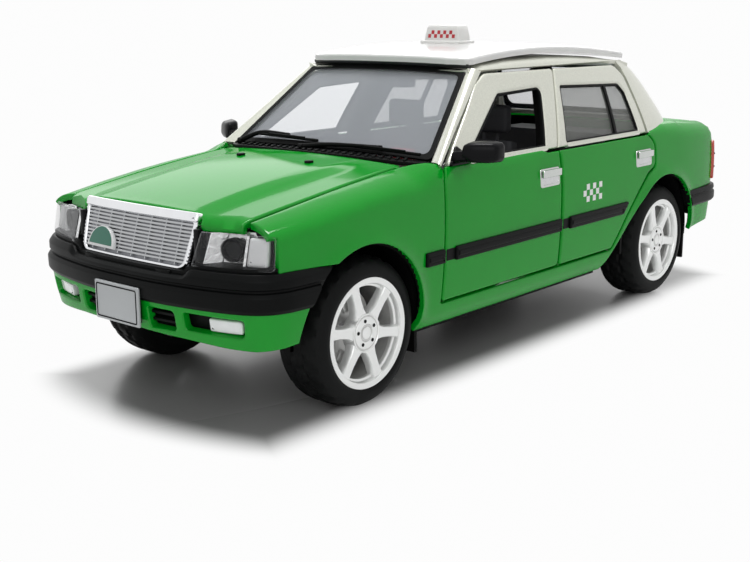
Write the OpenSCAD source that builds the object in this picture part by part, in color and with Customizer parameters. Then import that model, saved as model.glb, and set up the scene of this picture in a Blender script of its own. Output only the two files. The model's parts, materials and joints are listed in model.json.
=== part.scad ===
// Toy saloon taxi, die-cast, with four opening doors, an opening bonnet and boot lid, and rolling wheels.
// Frame: +X is forward, +Y is the car's left, +Z is up. The tyres stand on z = 0.
// Lengths are millimetres.

/* [Overall] */
// Distance between front and rear wheel centres
wheelbase = 122.6; // [112:0.1:134]
// Front wheel centre to the front number plate
front_overhang = 35.4; // [33:0.1:40]
// Rear wheel centre to the rear bumper face
rear_overhang = 39.2; // [37:0.1:46]
// Width of the metal body at its widest
body_w = 70.4; // [67:0.1:76]
// Underside of the sills above the ground
sill_z = 14.2; // [13.4:0.1:15]
// Bottom of the side windows above the ground
belt_z = 45.8; // [44:0.1:49]
// Highest point of the metal roof above the ground
roof_z = 66.9; // [65:0.1:72]
// Thickness of the cast body wall
wall = 1.4; // [1.2:0.1:1.6]

/* [Bonnet and boot] */
// Height of the bonnet at its front edge
bonnet_front_z = 41.3; // [40.5:0.1:43]
// Height of the bonnet at its rear edge
bonnet_rear_z = 47.2; // [46.6:0.1:48.2]
// Height of the boot deck at its front edge
deck_front_z = 47.6; // [46.8:0.1:48.4]
// Height of the boot deck at its rear edge
deck_rear_z = 45.8; // [44:0.1:47]
// Thickness of the bonnet and boot lid
lid_t = 1.6; // [1.3:0.1:2]
// Rear corner of the bonnet in from the side of the body
bonnet_margin = 8.8; // [7.6:0.1:10]
// Narrowing of each side of the bonnet towards the front
bonnet_taper = 0.3; // [0:0.1:2]
// Crease of the raised middle of the bonnet, in from its side
crease_in = 9.6; // [8:0.1:12]
// Half the width of the boot lid
boot_hw = 27.4; // [25:0.1:28.5]

/* [Doors] */
// Front wheel centre back to the front edge of the front door
door_setback = 23.6; // [22.5:0.1:26]
// Length of the front door below the window
front_door_len = 45.4; // [42:0.1:48]
// Underside of the doors
door_z = 17.6; // [17:0.1:19]
// Clearance between a door and the body
shut_gap = 0.5; // [0.45:0.05:0.7]
// Thickness of the inner door card
card_t = 0.9; // [0.6:0.1:1.2]
// Radius of the hinge pins
pin_r = 0.45; // [0.35:0.05:0.5]
// Radial running clearance of the hinge pins
pin_clear = 0.06; // [0.04:0.01:0.08]

/* [Wheels] */
// Outer radius of the tyre
tyre_r = 15.4; // [14.8:0.1:15.6]
// Width of the tyre
tyre_w = 11.8; // [10:0.1:12]
// Radius of the rim flange
rim_r = 11.5; // [10.8:0.1:12]
// Outer face of the rims in from the side of the body
rim_inset = 1.6; // [1.4:0.1:2.4]
// Radius of the axle
axle_r = 1.2; // [1:0.1:1.6]
// Radial running clearance of the axle
axle_clear = 0.07; // [0.04:0.01:0.09]
// Radius of the wheel arches
arch_r = 17.6; // [17.2:0.1:18]

/* [Roof] */
// Thickness of the roof panel
roof_panel_t = 1.5; // [1.2:0.1:2]
// Clear gap between the metal roof and the roof panel
roof_gap = 0.7; // [0.5:0.1:1]
// Half the width of the roof panel
roof_panel_hw = 24.8; // [22:0.1:25.2]
// Width of the roof lamp at its foot
sign_w = 10.8; // [9:0.1:14]
// Height of the roof lamp over its foot
sign_h = 3.6; // [3:0.1:6]

/* [Trim] */
// Height of the lower edge of the rub strips
strip_z = 26.1; // [25:0.1:27]
// Height of a rub strip
strip_h = 3; // [2:0.1:3.4]
// How far the rub strips stand out
strip_t = 0.7; // [0.5:0.1:0.8]
// Length of a door handle
handle_w = 8.2; // [7:0.1:9]
// Height of a door handle
handle_h = 4.4; // [3.6:0.1:4.6]
// Width of a number plate
plate_w = 13.4; // [11:0.1:14]
// Number of slats in the grille
grille_slats = 10; // [6:1:12]

/* [Hidden] */
$fn = 48;
big = 400;
eps = 0.01;
hw = body_w / 2;
bonnet_rear_hw = hw - bonnet_margin;
crease_y = bonnet_rear_hw - crease_in;
rim_face_y = hw - rim_inset;
car_l = front_overhang + wheelbase + rear_overhang;
front_x = car_l / 2;
rear_x = -car_l / 2;
axle_fx = front_x - front_overhang;
axle_rx = axle_fx - wheelbase;
axle_z = tyre_r;
nose_x = front_x - 9.4;
tail_x = rear_x + 2.8;
cowl_x = axle_fx - 20;
deck_x = axle_rx - 11.6;
screen_x = cowl_x - 4;
screen_z = belt_z + 0.6;
screen_top_x = screen_x - 22.2;
screen_top_z = roof_z - 2;
back_top_x = deck_x + 16.6;
back_top_z = roof_z - 3.3;
rail_z = roof_z - 3.3;
rail_hw = hw - 8.6;
door_fx = axle_fx - door_setback;
b_x = door_fx - front_door_len;
hinge_in = 1.2;
hinge_deep = 2;
hinge_y = hw - hinge_deep;
hinge_fx = door_fx - hinge_in;
hinge_rx = b_x - shut_gap - hinge_in;
swing_r = norm([hinge_in, hinge_deep]) + 0.17;
strip_lead = 2.2;
strip_lip = 0.25;
lug_z = door_z + 14.4;
lug_h = 2;
post_deep = wall + 1.7;
post_t = 1.6;
pivot_e = 2.2;
pivot_d = 1.2;
bonnet_hx = cowl_x + pivot_e;
bonnet_hz = bonnet_rear_z - pivot_d - 0.35;
boot_hx = deck_x - pivot_e - 0.1;
boot_hz = deck_front_z - pivot_d - 0.1;
lid_gap = shut_gap + 0.15;
bumper_top = bonnet_front_z - 9.4;
bumper_bot = bumper_top - 7.5;
lamp_bot = bumper_top + 0.4;
lamp_top = bonnet_front_z - 2.7;
support_x = nose_x - 5.6;
arch_fx = axle_fx + 1.8;
arch_rx = axle_rx + 0.5;
arch_z = axle_z + 1;
floor_z = sill_z - 3;
floor_top = sill_z - 1.4;
tyre_out = rim_face_y + 0.3;
tyre_in = tyre_out - tyre_w;
bay_hw = tyre_in - 1.6;
rim_seat_r = rim_r - 0.7;

// Helper functions and modules

function unit(v) = v / norm(v);
function left(v) = [-v[1], v[0]];

// Moves every edge of a counter-clockwise outline inwards by d.
function inset(p, d) = let (n = len(p)) [for (i = [0 : n - 1])
    let (u = left(unit(p[i] - p[(i + n - 1) % n])))
    let (v = left(unit(p[(i + 1) % n] - p[i])))
    p[i] + d * (u + v) / (1 + u * v)];

// Completes a half outline given from the bottom of the +Y side up to the middle.
function mirror_y(h) = concat(h, [for (i = [len(h) - 1 : -1 : 0]) if (h[i][0] > eps) [-h[i][0], h[i][1]]]);

// Completes a half plan given from the front along the +Y side to the rear.
function mirror_plan(h) = concat([for (i = [len(h) - 1 : -1 : 0]) if (h[i][1] > eps) [h[i][0], -h[i][1]]],
    h);

module along_x(p) {
    rotate([90, 0, 90])
        linear_extrude(big, center = true)
            polygon(p);
}

module along_y(p, y0 = -big / 2, y1 = big / 2) {
    translate([0, y1, 0])
        rotate([90, 0, 0])
            linear_extrude(y1 - y0)
                polygon(p);
}

module along_z(p, z0, z1) {
    translate([0, 0, z0])
        linear_extrude(z1 - z0)
            polygon(p);
}

// A box given by its two corners.
module block(a, b) {
    translate(a)
        cube(b - a);
}

// A rod along Y between two values of y.
module rod_y(x, z, r, y0, y1) {
    translate([x, y1, z])
        rotate([90, 0, 0])
            cylinder(r = r, h = y1 - y0);
}

module on_side(s) {
    scale([1, 1, 1])
        mirror([0, s < 0 ? 1 : 0, 0])
            children();
}

module both() {
    children();
    mirror([0, 1, 0])
        children();
}

// Outlines of the body

// Height of the bonnet line at x.
function bonnet_z(x) = bonnet_front_z + (bonnet_rear_z - bonnet_front_z)
    * (1 - pow(1 - (nose_x - x) / (nose_x - cowl_x), 1.7));

// Side view of the lower body, down to the height zb.
function lower_side(zb) = concat(
    [[tail_x + 1.4, zb], [nose_x + 1.2, zb], [nose_x + 1.2, bonnet_front_z - 0.7], [nose_x, bonnet_front_z]],
    [for (i = [1 : 7]) let (x = nose_x + (cowl_x - nose_x) * i / 7) [x, bonnet_z(x)]],
    [[cowl_x - 0.3, belt_z + 0.6], [deck_x + 0.4, belt_z + 0.6], [deck_x, deck_front_z],
     [tail_x + 4, deck_rear_z], [tail_x + 1.5, deck_rear_z - 1.3], [tail_x + 0.4, deck_rear_z - 3.6],
     [tail_x, bumper_top + 4], [tail_x + 0.5, bumper_bot - 4]]);

// Front view of the lower body, down to the height zb.
function lower_front(zb) = mirror_y(concat(zb < sill_z ? [[hw - 1.2, zb]] : [], [[hw - 1.2, sill_z],
    [hw - 0.5, sill_z + 5], [hw - 0.1, sill_z + 11], [hw, sill_z + 17], [hw - 0.2, belt_z - 8],
    [hw - 0.6, belt_z - 3.5], [hw - 1.3, belt_z], [hw - 2.2, belt_z + 0.9], [hw - 4.5, belt_z + 1.6],
    [0, belt_z + 2.6]]));

// Top view of the lower body.
function lower_plan() = mirror_plan([[nose_x + 1, 0], [nose_x + 0.7, hw - 23], [nose_x - 0.2, hw - 11],
    [nose_x - 1.4, hw - 4.2], [nose_x - 2.8, hw - 1.9], [nose_x - 6, hw - 1], [axle_fx + 4, hw - 0.2],
    [axle_fx - 20, hw + 0.2], [axle_rx + 14, hw + 0.2], [axle_rx - 6, hw - 0.2], [tail_x + 14, hw - 0.8],
    [tail_x + 5, hw - 1.5], [tail_x + 2.2, hw - 3.2], [tail_x + 0.9, hw - 6.5], [tail_x + 0.1, hw - 14],
    [tail_x - 0.4, 0]]);

// Rounded shoulder of the bonnet and front fenders, about the straight line under the bonnet.
function shoulder() = mirror_y([[hw + 3, -40], [hw + 3, -9], [hw - 0.5, -3.9], [hw - 1.9, -1.7], [hw - 4.2, -0.6],
    [hw - 9, -0.5], [crease_y + 1.3, -0.1], [crease_y - 1.3, 1.1], [0, 2.6]]);

// Side view of the cabin, down to the height zb.
function cabin_side(zb) = [[deck_x + 0.9, zb], [screen_x, zb], [screen_x, screen_z],
    [screen_top_x, screen_top_z], [screen_top_x - 4, roof_z - 0.9], [screen_top_x - 14, roof_z - 0.2],
    [screen_top_x - 31, roof_z], [back_top_x + 16, roof_z - 1], [back_top_x + 5, roof_z - 2.3],
    [back_top_x, back_top_z], [deck_x + 0.9, deck_front_z - 0.4]];

// Front view of the cabin, down to the height zb.
function cabin_front(zb) = mirror_y([[hw - 1.7, zb], [hw - 1.7, belt_z + 0.2], [rail_hw, rail_z],
    [rail_hw - 1.1, rail_z + 1.6], [rail_hw - 3, rail_z + 2.7], [rail_hw - 9, rail_z + 3.3], [0, rail_z + 3.7]]);

// Solid lower body, its skin moved inwards by d, open below when d is a wall.
module lower_body(d) {
    zb = d > 0 ? sill_z - 8 - 2 * d : sill_z;
    slope = atan2(bonnet_rear_z - bonnet_front_z, nose_x - cowl_x);
    intersection() {
        along_y(inset(lower_side(zb), d));
        along_x(inset(lower_front(zb), d));
        along_z(inset(lower_plan(), d), sill_z - 20, big / 2);
        union() {
            block([rear_x - 10, -big / 4, sill_z - 20], [cowl_x - 0.2, big / 4, big / 4]);
            intersection() {
                translate([nose_x, 0, bonnet_front_z])
                    rotate([0, slope, 0])
                        along_x(inset(shoulder(), d));
                block([cowl_x - 0.3, -big / 4, sill_z - 20], [front_x + 10, big / 4, big / 4]);
            }
        }
    }
}

// Solid cabin, its skin moved inwards by d.
module cabin(d) {
    zb = d > 0 ? belt_z - 6 - 2 * d : belt_z - 3;
    intersection() {
        along_y(inset(cabin_side(zb), d));
        along_x(inset(cabin_front(zb), d));
    }
}

module hull_form(d) {
    lower_body(d);
    cabin(d);
}

// The part of the wall between depths d0 and d1 below the outer skin.
module skin(d0, d1) {
    difference() {
        hull_form(d0);
        hull_form(d1);
    }
}

// Outline of the side of the body and cabin in front view, from the sill up to the roof rail.
flank_line = [[hw - 1.2, sill_z], [hw - 0.5, sill_z + 5], [hw - 0.1, sill_z + 11], [hw, sill_z + 17],
    [hw - 0.2, belt_z - 8], [hw - 0.6, belt_z - 3.5], [hw - 1.3, belt_z - 0.2], [rail_hw, rail_z],
    [rail_hw - 1.1, rail_z + 1.6]];

// Layer along the flank of the body, between depths d0 and d1 measured across the car.
module flank(d0, d1) {
    n = len(flank_line) - 1;
    along_x(concat([for (p = flank_line) [p[0] - d0, p[1]]],
        [for (i = [n : -1 : 0]) [flank_line[i][0] - d1, flank_line[i][1]]]));
}

// Raised skin from the outer face out to t, lower body only.
module raised(t) {
    difference() {
        lower_body(-t);
        lower_body(0);
    }
}

// Outlines of the doors in side view

function pillar_x(z) = screen_x + (screen_top_x - screen_x) * (z - screen_z) / (screen_top_z - screen_z) - 2.6;
function b_line(z) = z < belt_z ? b_x : b_x - (z - belt_z) * 0.43;

front_door_line = [[b_x, door_z], [door_fx, door_z], [door_fx, belt_z - 2.2],
    [pillar_x(belt_z + 1.4), belt_z + 1.4], [pillar_x(rail_z - 1.6), rail_z - 1.6],
    [pillar_x(rail_z - 1.6) - 3.6, rail_z], [b_line(rail_z), rail_z], [b_line(belt_z + 0.01), belt_z]];

rear_end_x = axle_rx + 10;
rear_door_line = [[axle_rx + 28, door_z], [b_x - shut_gap, door_z], [b_x - shut_gap, belt_z],
    [b_line(rail_z) - shut_gap, rail_z], [rear_end_x + 3.4, rail_z - 0.9], [rear_end_x + 1.2, rail_z - 3],
    [rear_end_x - 0.2, belt_z], [rear_end_x - 3, belt_z - 3.4], [rear_end_x - 3.2, belt_z - 8.4],
    [rear_end_x + 0.3, belt_z - 10.2], [axle_rx + 15.4, sill_z + 17.2], [axle_rx + 21.3, sill_z + 11.3]];

front_window_line = [[b_line(belt_z + 1) + 4.6, belt_z + 0.4], [pillar_x(belt_z + 0.4) - 6.6, belt_z + 0.4],
    [pillar_x(rail_z - 4.6) - 7.4, rail_z - 4.6], [pillar_x(rail_z - 4.6) - 11, rail_z - 3.8],
    [b_line(rail_z - 3.8) + 4.4, rail_z - 3.8]];

rear_window_line = [[rear_end_x + 3.6, belt_z + 0.4], [b_line(belt_z + 1) - 4.2, belt_z + 0.4],
    [b_line(rail_z - 3.8) - 4.2, rail_z - 3.8], [rear_end_x + 6, rail_z - 4.6],
    [rear_end_x + 4.2, rail_z - 6.4]];

// Rear wheel arch: a round top with a straight leading edge that slopes down to the sill.
rear_arch_line = [[arch_rx - arch_r, sill_z - 8], [arch_rx + 36.5, sill_z - 8], [arch_rx + 29.5, sill_z],
    [arch_rx + 10.6, arch_z + 13.4], [arch_rx - arch_r + 2, arch_z]];

// Bonnet, boot lid and glass outlines

bonnet_line = [[cowl_x, -bonnet_rear_hw], [nose_x + 6, bonnet_taper - bonnet_rear_hw], [nose_x + 6, bonnet_rear_hw - bonnet_taper],
    [cowl_x, bonnet_rear_hw]];

boot_face_hw = boot_hw - 8.8;
boot_line = [[-boot_face_hw, bumper_top - 0.2], [boot_face_hw, bumper_top - 0.2],
    [boot_face_hw, deck_rear_z - 3], [boot_hw, deck_rear_z - 3], [boot_hw, belt_z + 20],
    [-boot_hw, belt_z + 20], [-boot_hw, deck_rear_z - 3], [-boot_face_hw, deck_rear_z - 3]];

screen_line = [[-hw + 5.6, screen_z + 1.1], [hw - 5.6, screen_z + 1.1],
    [rail_hw - 3.6, screen_top_z - 1.4], [-rail_hw + 3.6, screen_top_z - 1.4]];

back_line = [[-hw + 8.4, deck_front_z + 1.2], [hw - 8.4, deck_front_z + 1.2],
    [rail_hw - 4.8, back_top_z - 1.5], [-rail_hw + 4.8, back_top_z - 1.5]];

module screen_zone(d) {
    intersection() {
        along_x(inset(screen_line, d));
        block([screen_top_x - 6, -big / 4, 0], [screen_x + 6, big / 4, big / 4]);
    }
}

module back_zone(d) {
    intersection() {
        along_x(inset(back_line, d));
        block([deck_x - 6, -big / 4, 0], [back_top_x + 4, big / 4, big / 4]);
    }
}

module bonnet_zone(d) {
    along_z(inset(bonnet_line, d), lamp_top + 0.8 + d, big / 4);
}

module boot_zone(d) {
    intersection() {
        along_x(inset(boot_line, d));
        block([rear_x - 20, -big / 4, 0], [deck_x - 0.1 - d, big / 4, big / 4]);
    }
}

// Body casting

// Hinge ear that carries a door pin, on an inner post.
module hinge_ear(x) {
    difference() {
        union() {
            translate([x, hinge_y, lug_z])
                cylinder(r = 1, h = lug_h);
            block([x - 1, hw - post_deep - 0.8, lug_z], [x + 0.2, hinge_y, lug_z + lug_h]);
        }
        translate([x, hinge_y, lug_z - 1])
            cylinder(r = pin_r + pin_clear, h = lug_h + 2);
    }
}

// Inner posts that carry the hinges, behind the front edge of each door.
module posts() {
    intersection() {
        flank(post_deep, post_deep + post_t);
        union() {
            along_y([[hinge_fx - 5, sill_z], [door_fx + 3.4, sill_z], [door_fx + 3.4, belt_z - 1], [hinge_fx - 5, belt_z - 1]], 10, 60);
            along_y([[hinge_rx - 3.2, sill_z], [hinge_rx + 5, sill_z], [hinge_rx + 5, belt_z],
                [b_line(roof_z) + 3.6, roof_z], [b_line(roof_z) - 4.6, roof_z], [hinge_rx - 3.2, belt_z]], 10, 60);
        }
    }
    intersection() {
        flank(wall / 2, post_deep + post_t);
        union() {
            block([door_fx + 2, 10, sill_z], [door_fx + 3.4, 60, belt_z - 1]);
            block([hinge_fx - 5, 10, sill_z], [door_fx + 3.4, 60, door_z - shut_gap]);
            block([hinge_rx - 3.2, 10, sill_z], [hinge_rx + 5, 60, door_z - shut_gap]);
            along_y([[b_line(roof_z) + 3.6, rail_z + shut_gap], [b_line(roof_z) + 3.6, roof_z],
                [b_line(roof_z) - 4.6, roof_z], [b_line(roof_z) - 4.6, rail_z + shut_gap]], 10, 60);
        }
    }
}

module pin_holes() {
    for (x = [hinge_fx, hinge_rx])
        translate([x, hinge_y, sill_z + 1])
            cylinder(r = pin_r + pin_clear, h = 10);
}

// Bosses on the body that take the pins of the bonnet and boot lid.
module lid_bosses() {
    intersection() {
        block([bonnet_hx - 1.3, bonnet_rear_hw + lid_gap, bonnet_hz - 1.2], [bonnet_hx + 1.3, hw - 2.6, bonnet_hz + 0.4]);
        lower_body(0);
    }
    block([boot_hx - 1.3, boot_hw + lid_gap, boot_hz - 1.2], [boot_hx + 1.3, hw - 3, boot_hz + 0.4]);
}

module lid_pin_holes() {
    rod_y(bonnet_hx, bonnet_hz, pin_r + pin_clear, bonnet_rear_hw - 2, bonnet_rear_hw + lid_gap + 1.4);
    rod_y(boot_hx, boot_hz, pin_r + pin_clear, boot_hw - 2, boot_hw + lid_gap + 1.4);
}

module arch_cut(extra) {
    rod_y(arch_fx, arch_z, arch_r + extra, bay_hw - 3, 60);
    rod_y(arch_rx, arch_z, arch_r + extra, bay_hw - 3, 60);
    along_y(inset(rear_arch_line, -extra), bay_hw - 3, 60);
}

screw_fx = support_x - 2.2;
screw_rx = tail_x + 5.2;
screw_y = 12;

module body_shell() {
    color([0.03, 0.36, 0.17])
    difference() {
        union() {
            difference() {
                skin(0, wall);
                both() {
                    along_y(inset(front_door_line, -shut_gap), 12, 60);
                    along_y(inset(rear_door_line, -shut_gap), 12, 60);
                    arch_cut(0);
                    translate([hinge_fx, hinge_y, door_z - shut_gap])
                        cylinder(r = swing_r, h = belt_z - door_z + shut_gap);
                }
                bonnet_zone(-lid_gap);
                boot_zone(-lid_gap);
                screen_zone(0);
                back_zone(0);
                block([arch_fx, -60, sill_z - 20], [front_x + 5, 60, bumper_top]);
                block([nose_x - 2.5, -60, bumper_top - 5], [front_x + 5, 60, lamp_top + 0.4]);
            }
            both() {
                posts();
                lid_bosses();
                block([arch_rx + 26, hw - 4, sill_z], [arch_fx - arch_r - 1.4, hw - 1.9, door_z - shut_gap - 0.1]);
                hinge_ear(hinge_fx);
                hinge_ear(hinge_rx);
                translate([screw_fx, screw_y, floor_top])
                    cylinder(r = 2.6, h = 15);
                translate([screw_rx, screw_y, floor_top])
                    cylinder(r = 2.6, h = 15);
                block([tail_x + 0.8, screw_y - 2, sill_z + 4], [screw_rx, screw_y + 2, floor_top + 15]);
            }
            block([support_x, -bay_hw, sill_z + 4], [support_x + 1.4, bay_hw, lamp_top]);
            block([support_x, -hw + 2, bumper_top + 0.4], [support_x + 1.4, hw - 2, lamp_top]);
        }
        both() {
            pin_holes();
            lid_pin_holes();
            for (x = [screw_fx, screw_rx])
                translate([x, screw_y, floor_top - 1])
                    cylinder(r = 1, h = 11);
        }
    }
}

// Roof pieces

roof_top = roof_z + roof_gap + roof_panel_t;

// Side view of the roof panel, its skin moved inwards by d.
function roof_side() = let (z = roof_top, t = roof_panel_t) [[back_top_x + 1.6, z - 2.4 - t],
    [back_top_x + 16, z - 1 - t], [screen_top_x - 31, z - t], [screen_top_x - 12, z - 0.4 - t],
    [screen_top_x + 2.4, z - 1.7 - t], [screen_top_x + 2.4, z - 1.7], [screen_top_x - 12, z - 0.4],
    [screen_top_x - 31, z], [back_top_x + 16, z - 1], [back_top_x + 1.6, z - 2.4]];

module roof_panel() {
    color([0.92, 0.92, 0.93]) {
        intersection() {
            along_y(roof_side());
            along_z(mirror_plan([[screen_top_x + 2.3, 0], [screen_top_x + 1.6, roof_panel_hw - 6],
                [screen_top_x - 0.6, roof_panel_hw - 1.8], [screen_top_x - 4, roof_panel_hw - 0.4],
                [screen_top_x - 20, roof_panel_hw], [back_top_x + 6, roof_panel_hw - 0.4],
                [back_top_x + 2.6, roof_panel_hw - 1.8], [back_top_x + 1.7, roof_panel_hw - 5],
                [back_top_x + 1.7, 0]]), roof_z - 6, roof_top + 2);
        }
        both()
            for (x = [screen_top_x - 29, screen_top_x - 33])
                block([x - 1, 6, roof_z - 0.02], [x + 1, 16, roof_top - roof_panel_t + 0.2]);
    }
}

sign_x = screen_top_x - 23.4;
sign_foot = 0.9;

module roof_sign() {
    color([0.94, 0.94, 0.93]) {
        block([sign_x - 3.4, -sign_w / 2 - 1.6, roof_top - 0.3], [sign_x + 3.4, sign_w / 2 + 1.6, roof_top + sign_foot]);
        intersection() {
            along_x(mirror_y([[sign_w / 2, roof_top + sign_foot], [sign_w / 2 - 0.7, roof_top + sign_foot + sign_h],
                [0, roof_top + sign_foot + sign_h + 0.2]]));
            along_y([[sign_x - 2.6, roof_top + sign_foot], [sign_x + 2.6, roof_top + sign_foot],
                [sign_x + 2, roof_top + sign_foot + sign_h + 1], [sign_x - 2, roof_top + sign_foot + sign_h + 1]]);
        }
    }
}

// Glass

module windscreen() {
    color([0.8, 0.85, 0.88, 0.4])
    intersection() {
        skin(0.2, 1.2);
        screen_zone(0);
    }
}

module rear_window() {
    color([0.8, 0.85, 0.88, 0.4])
    intersection() {
        skin(0.2, 1.2);
        back_zone(0);
    }
}

// Front pieces

function bumper_plan() = mirror_plan([[front_x - 0.7, 0], [front_x - 0.7, plate_w / 2 + 0.8], [front_x - 1.6, hw - 21],
    [front_x - 3.2, hw - 11.5], [front_x - 5.4, hw - 4.6], [front_x - 7.6, hw - 1.6], [front_x - 10.6, hw - 0.2],
    [front_x - 15, hw + 0.4], [arch_fx, hw + 0.4]]);

// A band that follows the front bumper, from depth d0 to d1 and height z0 to z1.
module front_band(d0, d1, z0, z1) {
    difference() {
        along_z(inset(bumper_plan(), d0), z0, z1);
        along_z(inset(bumper_plan(), d1), z0 - 1, z1 + 1);
        both()
            rod_y(arch_fx, arch_z, arch_r + 0.05, bay_hw - 3, 60);
        block([arch_fx - 40, -60, z0 - 1], [arch_fx + 4, 60, z1 + 1]);
    }
}

module front_bumper() {
    color([0.05, 0.05, 0.06]) {
        front_band(0, 2.4, bumper_bot, bumper_top - 3.6);
        front_band(0.9, 2.4, bumper_top - 3.7, bumper_top - 3);
        front_band(0.4, 2.4, bumper_top - 3.1, bumper_top);
        both()
            block([support_x + 1.4, 9, bumper_bot + 1], [front_x - 2.6, 13, bumper_top - 1]);
    }
}

valance_bot = sill_z + 3;

module front_valance() {
    color([0.03, 0.36, 0.17])
    difference() {
        front_band(0.9, 2.6, valance_bot, bumper_bot);
        both() {
            block([front_x - 12, hw - 18.4, valance_bot + 2.6], [front_x, hw - 5.6, bumper_bot - 1]);
            block([front_x - 12, plate_w / 2 + 0.6, valance_bot + 2.2], [front_x, hw - 20.4, bumper_bot - 1]);
        }
    }
}

module fog_lamps() {
    color([0.9, 0.92, 0.92])
    both()
        intersection() {
            front_band(2.6, 4.2, valance_bot + 1.8, bumper_bot - 0.2);
            block([front_x - 16, hw - 14.6, valance_bot], [front_x, hw - 4.4, bumper_bot]);
        }
}

module front_number_plate() {
    color([0.75, 0.76, 0.78]) {
        block([front_x - 0.7, -plate_w / 2, bumper_bot - 5.2], [front_x, plate_w / 2, bumper_bot + 2.6]);
        block([front_x - 1.6, -plate_w / 2 + 1, bumper_bot - 4.6], [front_x - 0.6, plate_w / 2 - 1, bumper_bot - 0.1]);
    }
}

grille_hw = 16.8;
grille_lean = 17;

module grille() {
    gh = bonnet_front_z - bumper_top;
    color([0.82, 0.83, 0.85]) {
        translate([front_x - 4.2, 0, bumper_top])
            rotate([0, -grille_lean, 0]) {
                difference() {
                    block([-1.1, -grille_hw, 0.4], [0.5, grille_hw, gh]);
                    block([-0.3, -grille_hw + 1, 1.3], [2, grille_hw - 1, gh - 1.8]);
                }
                for (i = [1 : grille_slats])
                    block([-0.5, -grille_hw + 0.8, 1.1 + i * (gh - 3.1) / (grille_slats + 1) - 0.15],
                        [0.3, grille_hw - 0.8, 1.1 + i * (gh - 3.1) / (grille_slats + 1) + 0.15]);
                for (y = [-10.2, -3.4, 3.4, 10.2])
                    block([-0.5, y - 0.25, 1.2], [0.15, y + 0.25, gh - 1.7]);
            }
        difference() {
            block([support_x + 1.4, -12, bumper_top + 1], [front_x - 5, 12, lamp_top - 0.2]);
            translate([front_x - 4.2, 0, bumper_top])
                rotate([0, -grille_lean, 0])
                    block([-0.6, -30, -10], [30, 30, 30]);
        }
    }
}

module grille_badge() {
    color([0.1, 0.5, 0.25])
    translate([front_x - 4.2, 0, bumper_top])
        rotate([0, -grille_lean, 0])
            intersection() {
                translate([0.5, -7.6, 1])
                    rotate([0, 90, 0])
                        cylinder(r = 4.2, h = 0.7);
                block([0, -20, 1], [3, 20, 8]);
            }
}

// Plan of a lamp: a slanted wedge that reaches from the grille to the fender.
lamp_in_y = grille_hw + 0.7;
lamp_out_y = hw - 2.8;

module headlamp_housings() {
    color([0.85, 0.86, 0.88])
    both()
        along_z([[support_x + 1.4, lamp_in_y], [front_x - 6.2, lamp_in_y], [front_x - 10.6, lamp_out_y],
            [nose_x - 1.6, lamp_out_y], [nose_x - 1.6, hw - 7.6], [support_x + 1.4, hw - 7.6]], lamp_bot, lamp_top);
}

module headlamp_lenses() {
    color([0.86, 0.9, 0.93, 0.4])
    both()
        along_z([[front_x - 6.2, lamp_in_y], [front_x - 5, lamp_in_y], [front_x - 9.2, lamp_out_y],
            [front_x - 10.1, lamp_out_y + 1], [front_x - 10.9, lamp_out_y + 1], [front_x - 10.6, lamp_out_y]],
            lamp_bot, lamp_top);
}

// Rear pieces

function rear_plan() = mirror_plan([[axle_rx, hw + 0.5], [tail_x + 9, hw - 0.3], [tail_x + 3, hw - 1.2],
    [tail_x - 0.4, hw - 3.4], [rear_x + 0.8, hw - 8], [rear_x + 0.1, hw - 15], [rear_x, 0]]);

module rear_bumper() {
    color([0.05, 0.05, 0.06])
    difference() {
        along_z(rear_plan(), bumper_bot - 1.6, bumper_bot + 3.4);
        lower_body(0);
        both()
            rod_y(arch_rx, arch_z, arch_r + 0.3, bay_hw - 6, 60);
        block([axle_rx - 11, -60, 0], [axle_rx + 20, 60, 60]);
        along_z([[axle_rx, -50], [axle_rx, -61], [axle_rx + 2, -61], [axle_rx + 2, -50]], 0, 60);
    }
}

module tail_lamps() {
    color([0.75, 0.1, 0.05])
    both()
        intersection() {
            raised(0.8);
            block([rear_x - 10, boot_face_hw + 1.2, bumper_top], [tail_x + 5.6, 60, deck_rear_z - 3.6]);
        }
}

// Cowl, wipers, strips and flaps

module cowl_panel() {
    color([0.06, 0.06, 0.07])
    difference() {
        block([screen_x + 0.1, -hw + 5, belt_z + 0.6], [cowl_x - 1, hw - 5, belt_z + 1.4]);
        for (i = [-12 : 12])
            translate([screen_x + 2, i * 2.1, belt_z + 1])
                rotate([0, 0, 30])
                    block([-0.9, -0.25, 0], [0.9, 0.25, 2]);
    }
}

// A point on the windscreen at height fraction t, lifted by h.
function on_screen(y, t, h) = let (d = [screen_top_x - screen_x, screen_top_z - screen_z])
    let (n = unit([d[1], -d[0]])) [screen_x + d[0] * t + n[0] * h, y, screen_z + d[1] * t + n[1] * h];

module bar(a, b, r) {
    hull() {
        translate(a)
            sphere(r, $fn = 16);
        translate(b)
            sphere(r, $fn = 16);
    }
}

module wipers() {
    color([0.04, 0.04, 0.05])
    for (y = [-25, 0]) {
        bar([screen_x + 1.8, y, belt_z + 1.7], on_screen(y + 11, 0.13, 1), 0.45);
        bar(on_screen(y + 1.5, 0.04, 0.55), on_screen(y + 20, 0.2, 0.55), 0.4);
    }
}

module strip_zone(x0, x1) {
    along_y([[x0, strip_z], [x1, strip_z], [x1, strip_z + strip_h], [x0, strip_z + strip_h]], 20, 60);
}

module body_strips() {
    color([0.05, 0.05, 0.06])
    both()
        intersection() {
            raised(strip_t);
            strip_zone(door_fx + shut_gap, door_fx + shut_gap + 6.4);
        }
}

liner_t = 0.9;
liner_r = arch_r + 0.5;
flap_t = 0.8;

module mud_flaps() {
    color([0.05, 0.05, 0.06])
    both()
        for (x = [arch_fx, arch_rx])
            block([x - liner_r - liner_t, tyre_in + 1, arch_z - 9], [x - liner_r - liner_t + flap_t, hw - 3, arch_z - 2]);
}

// Chassis

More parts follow.
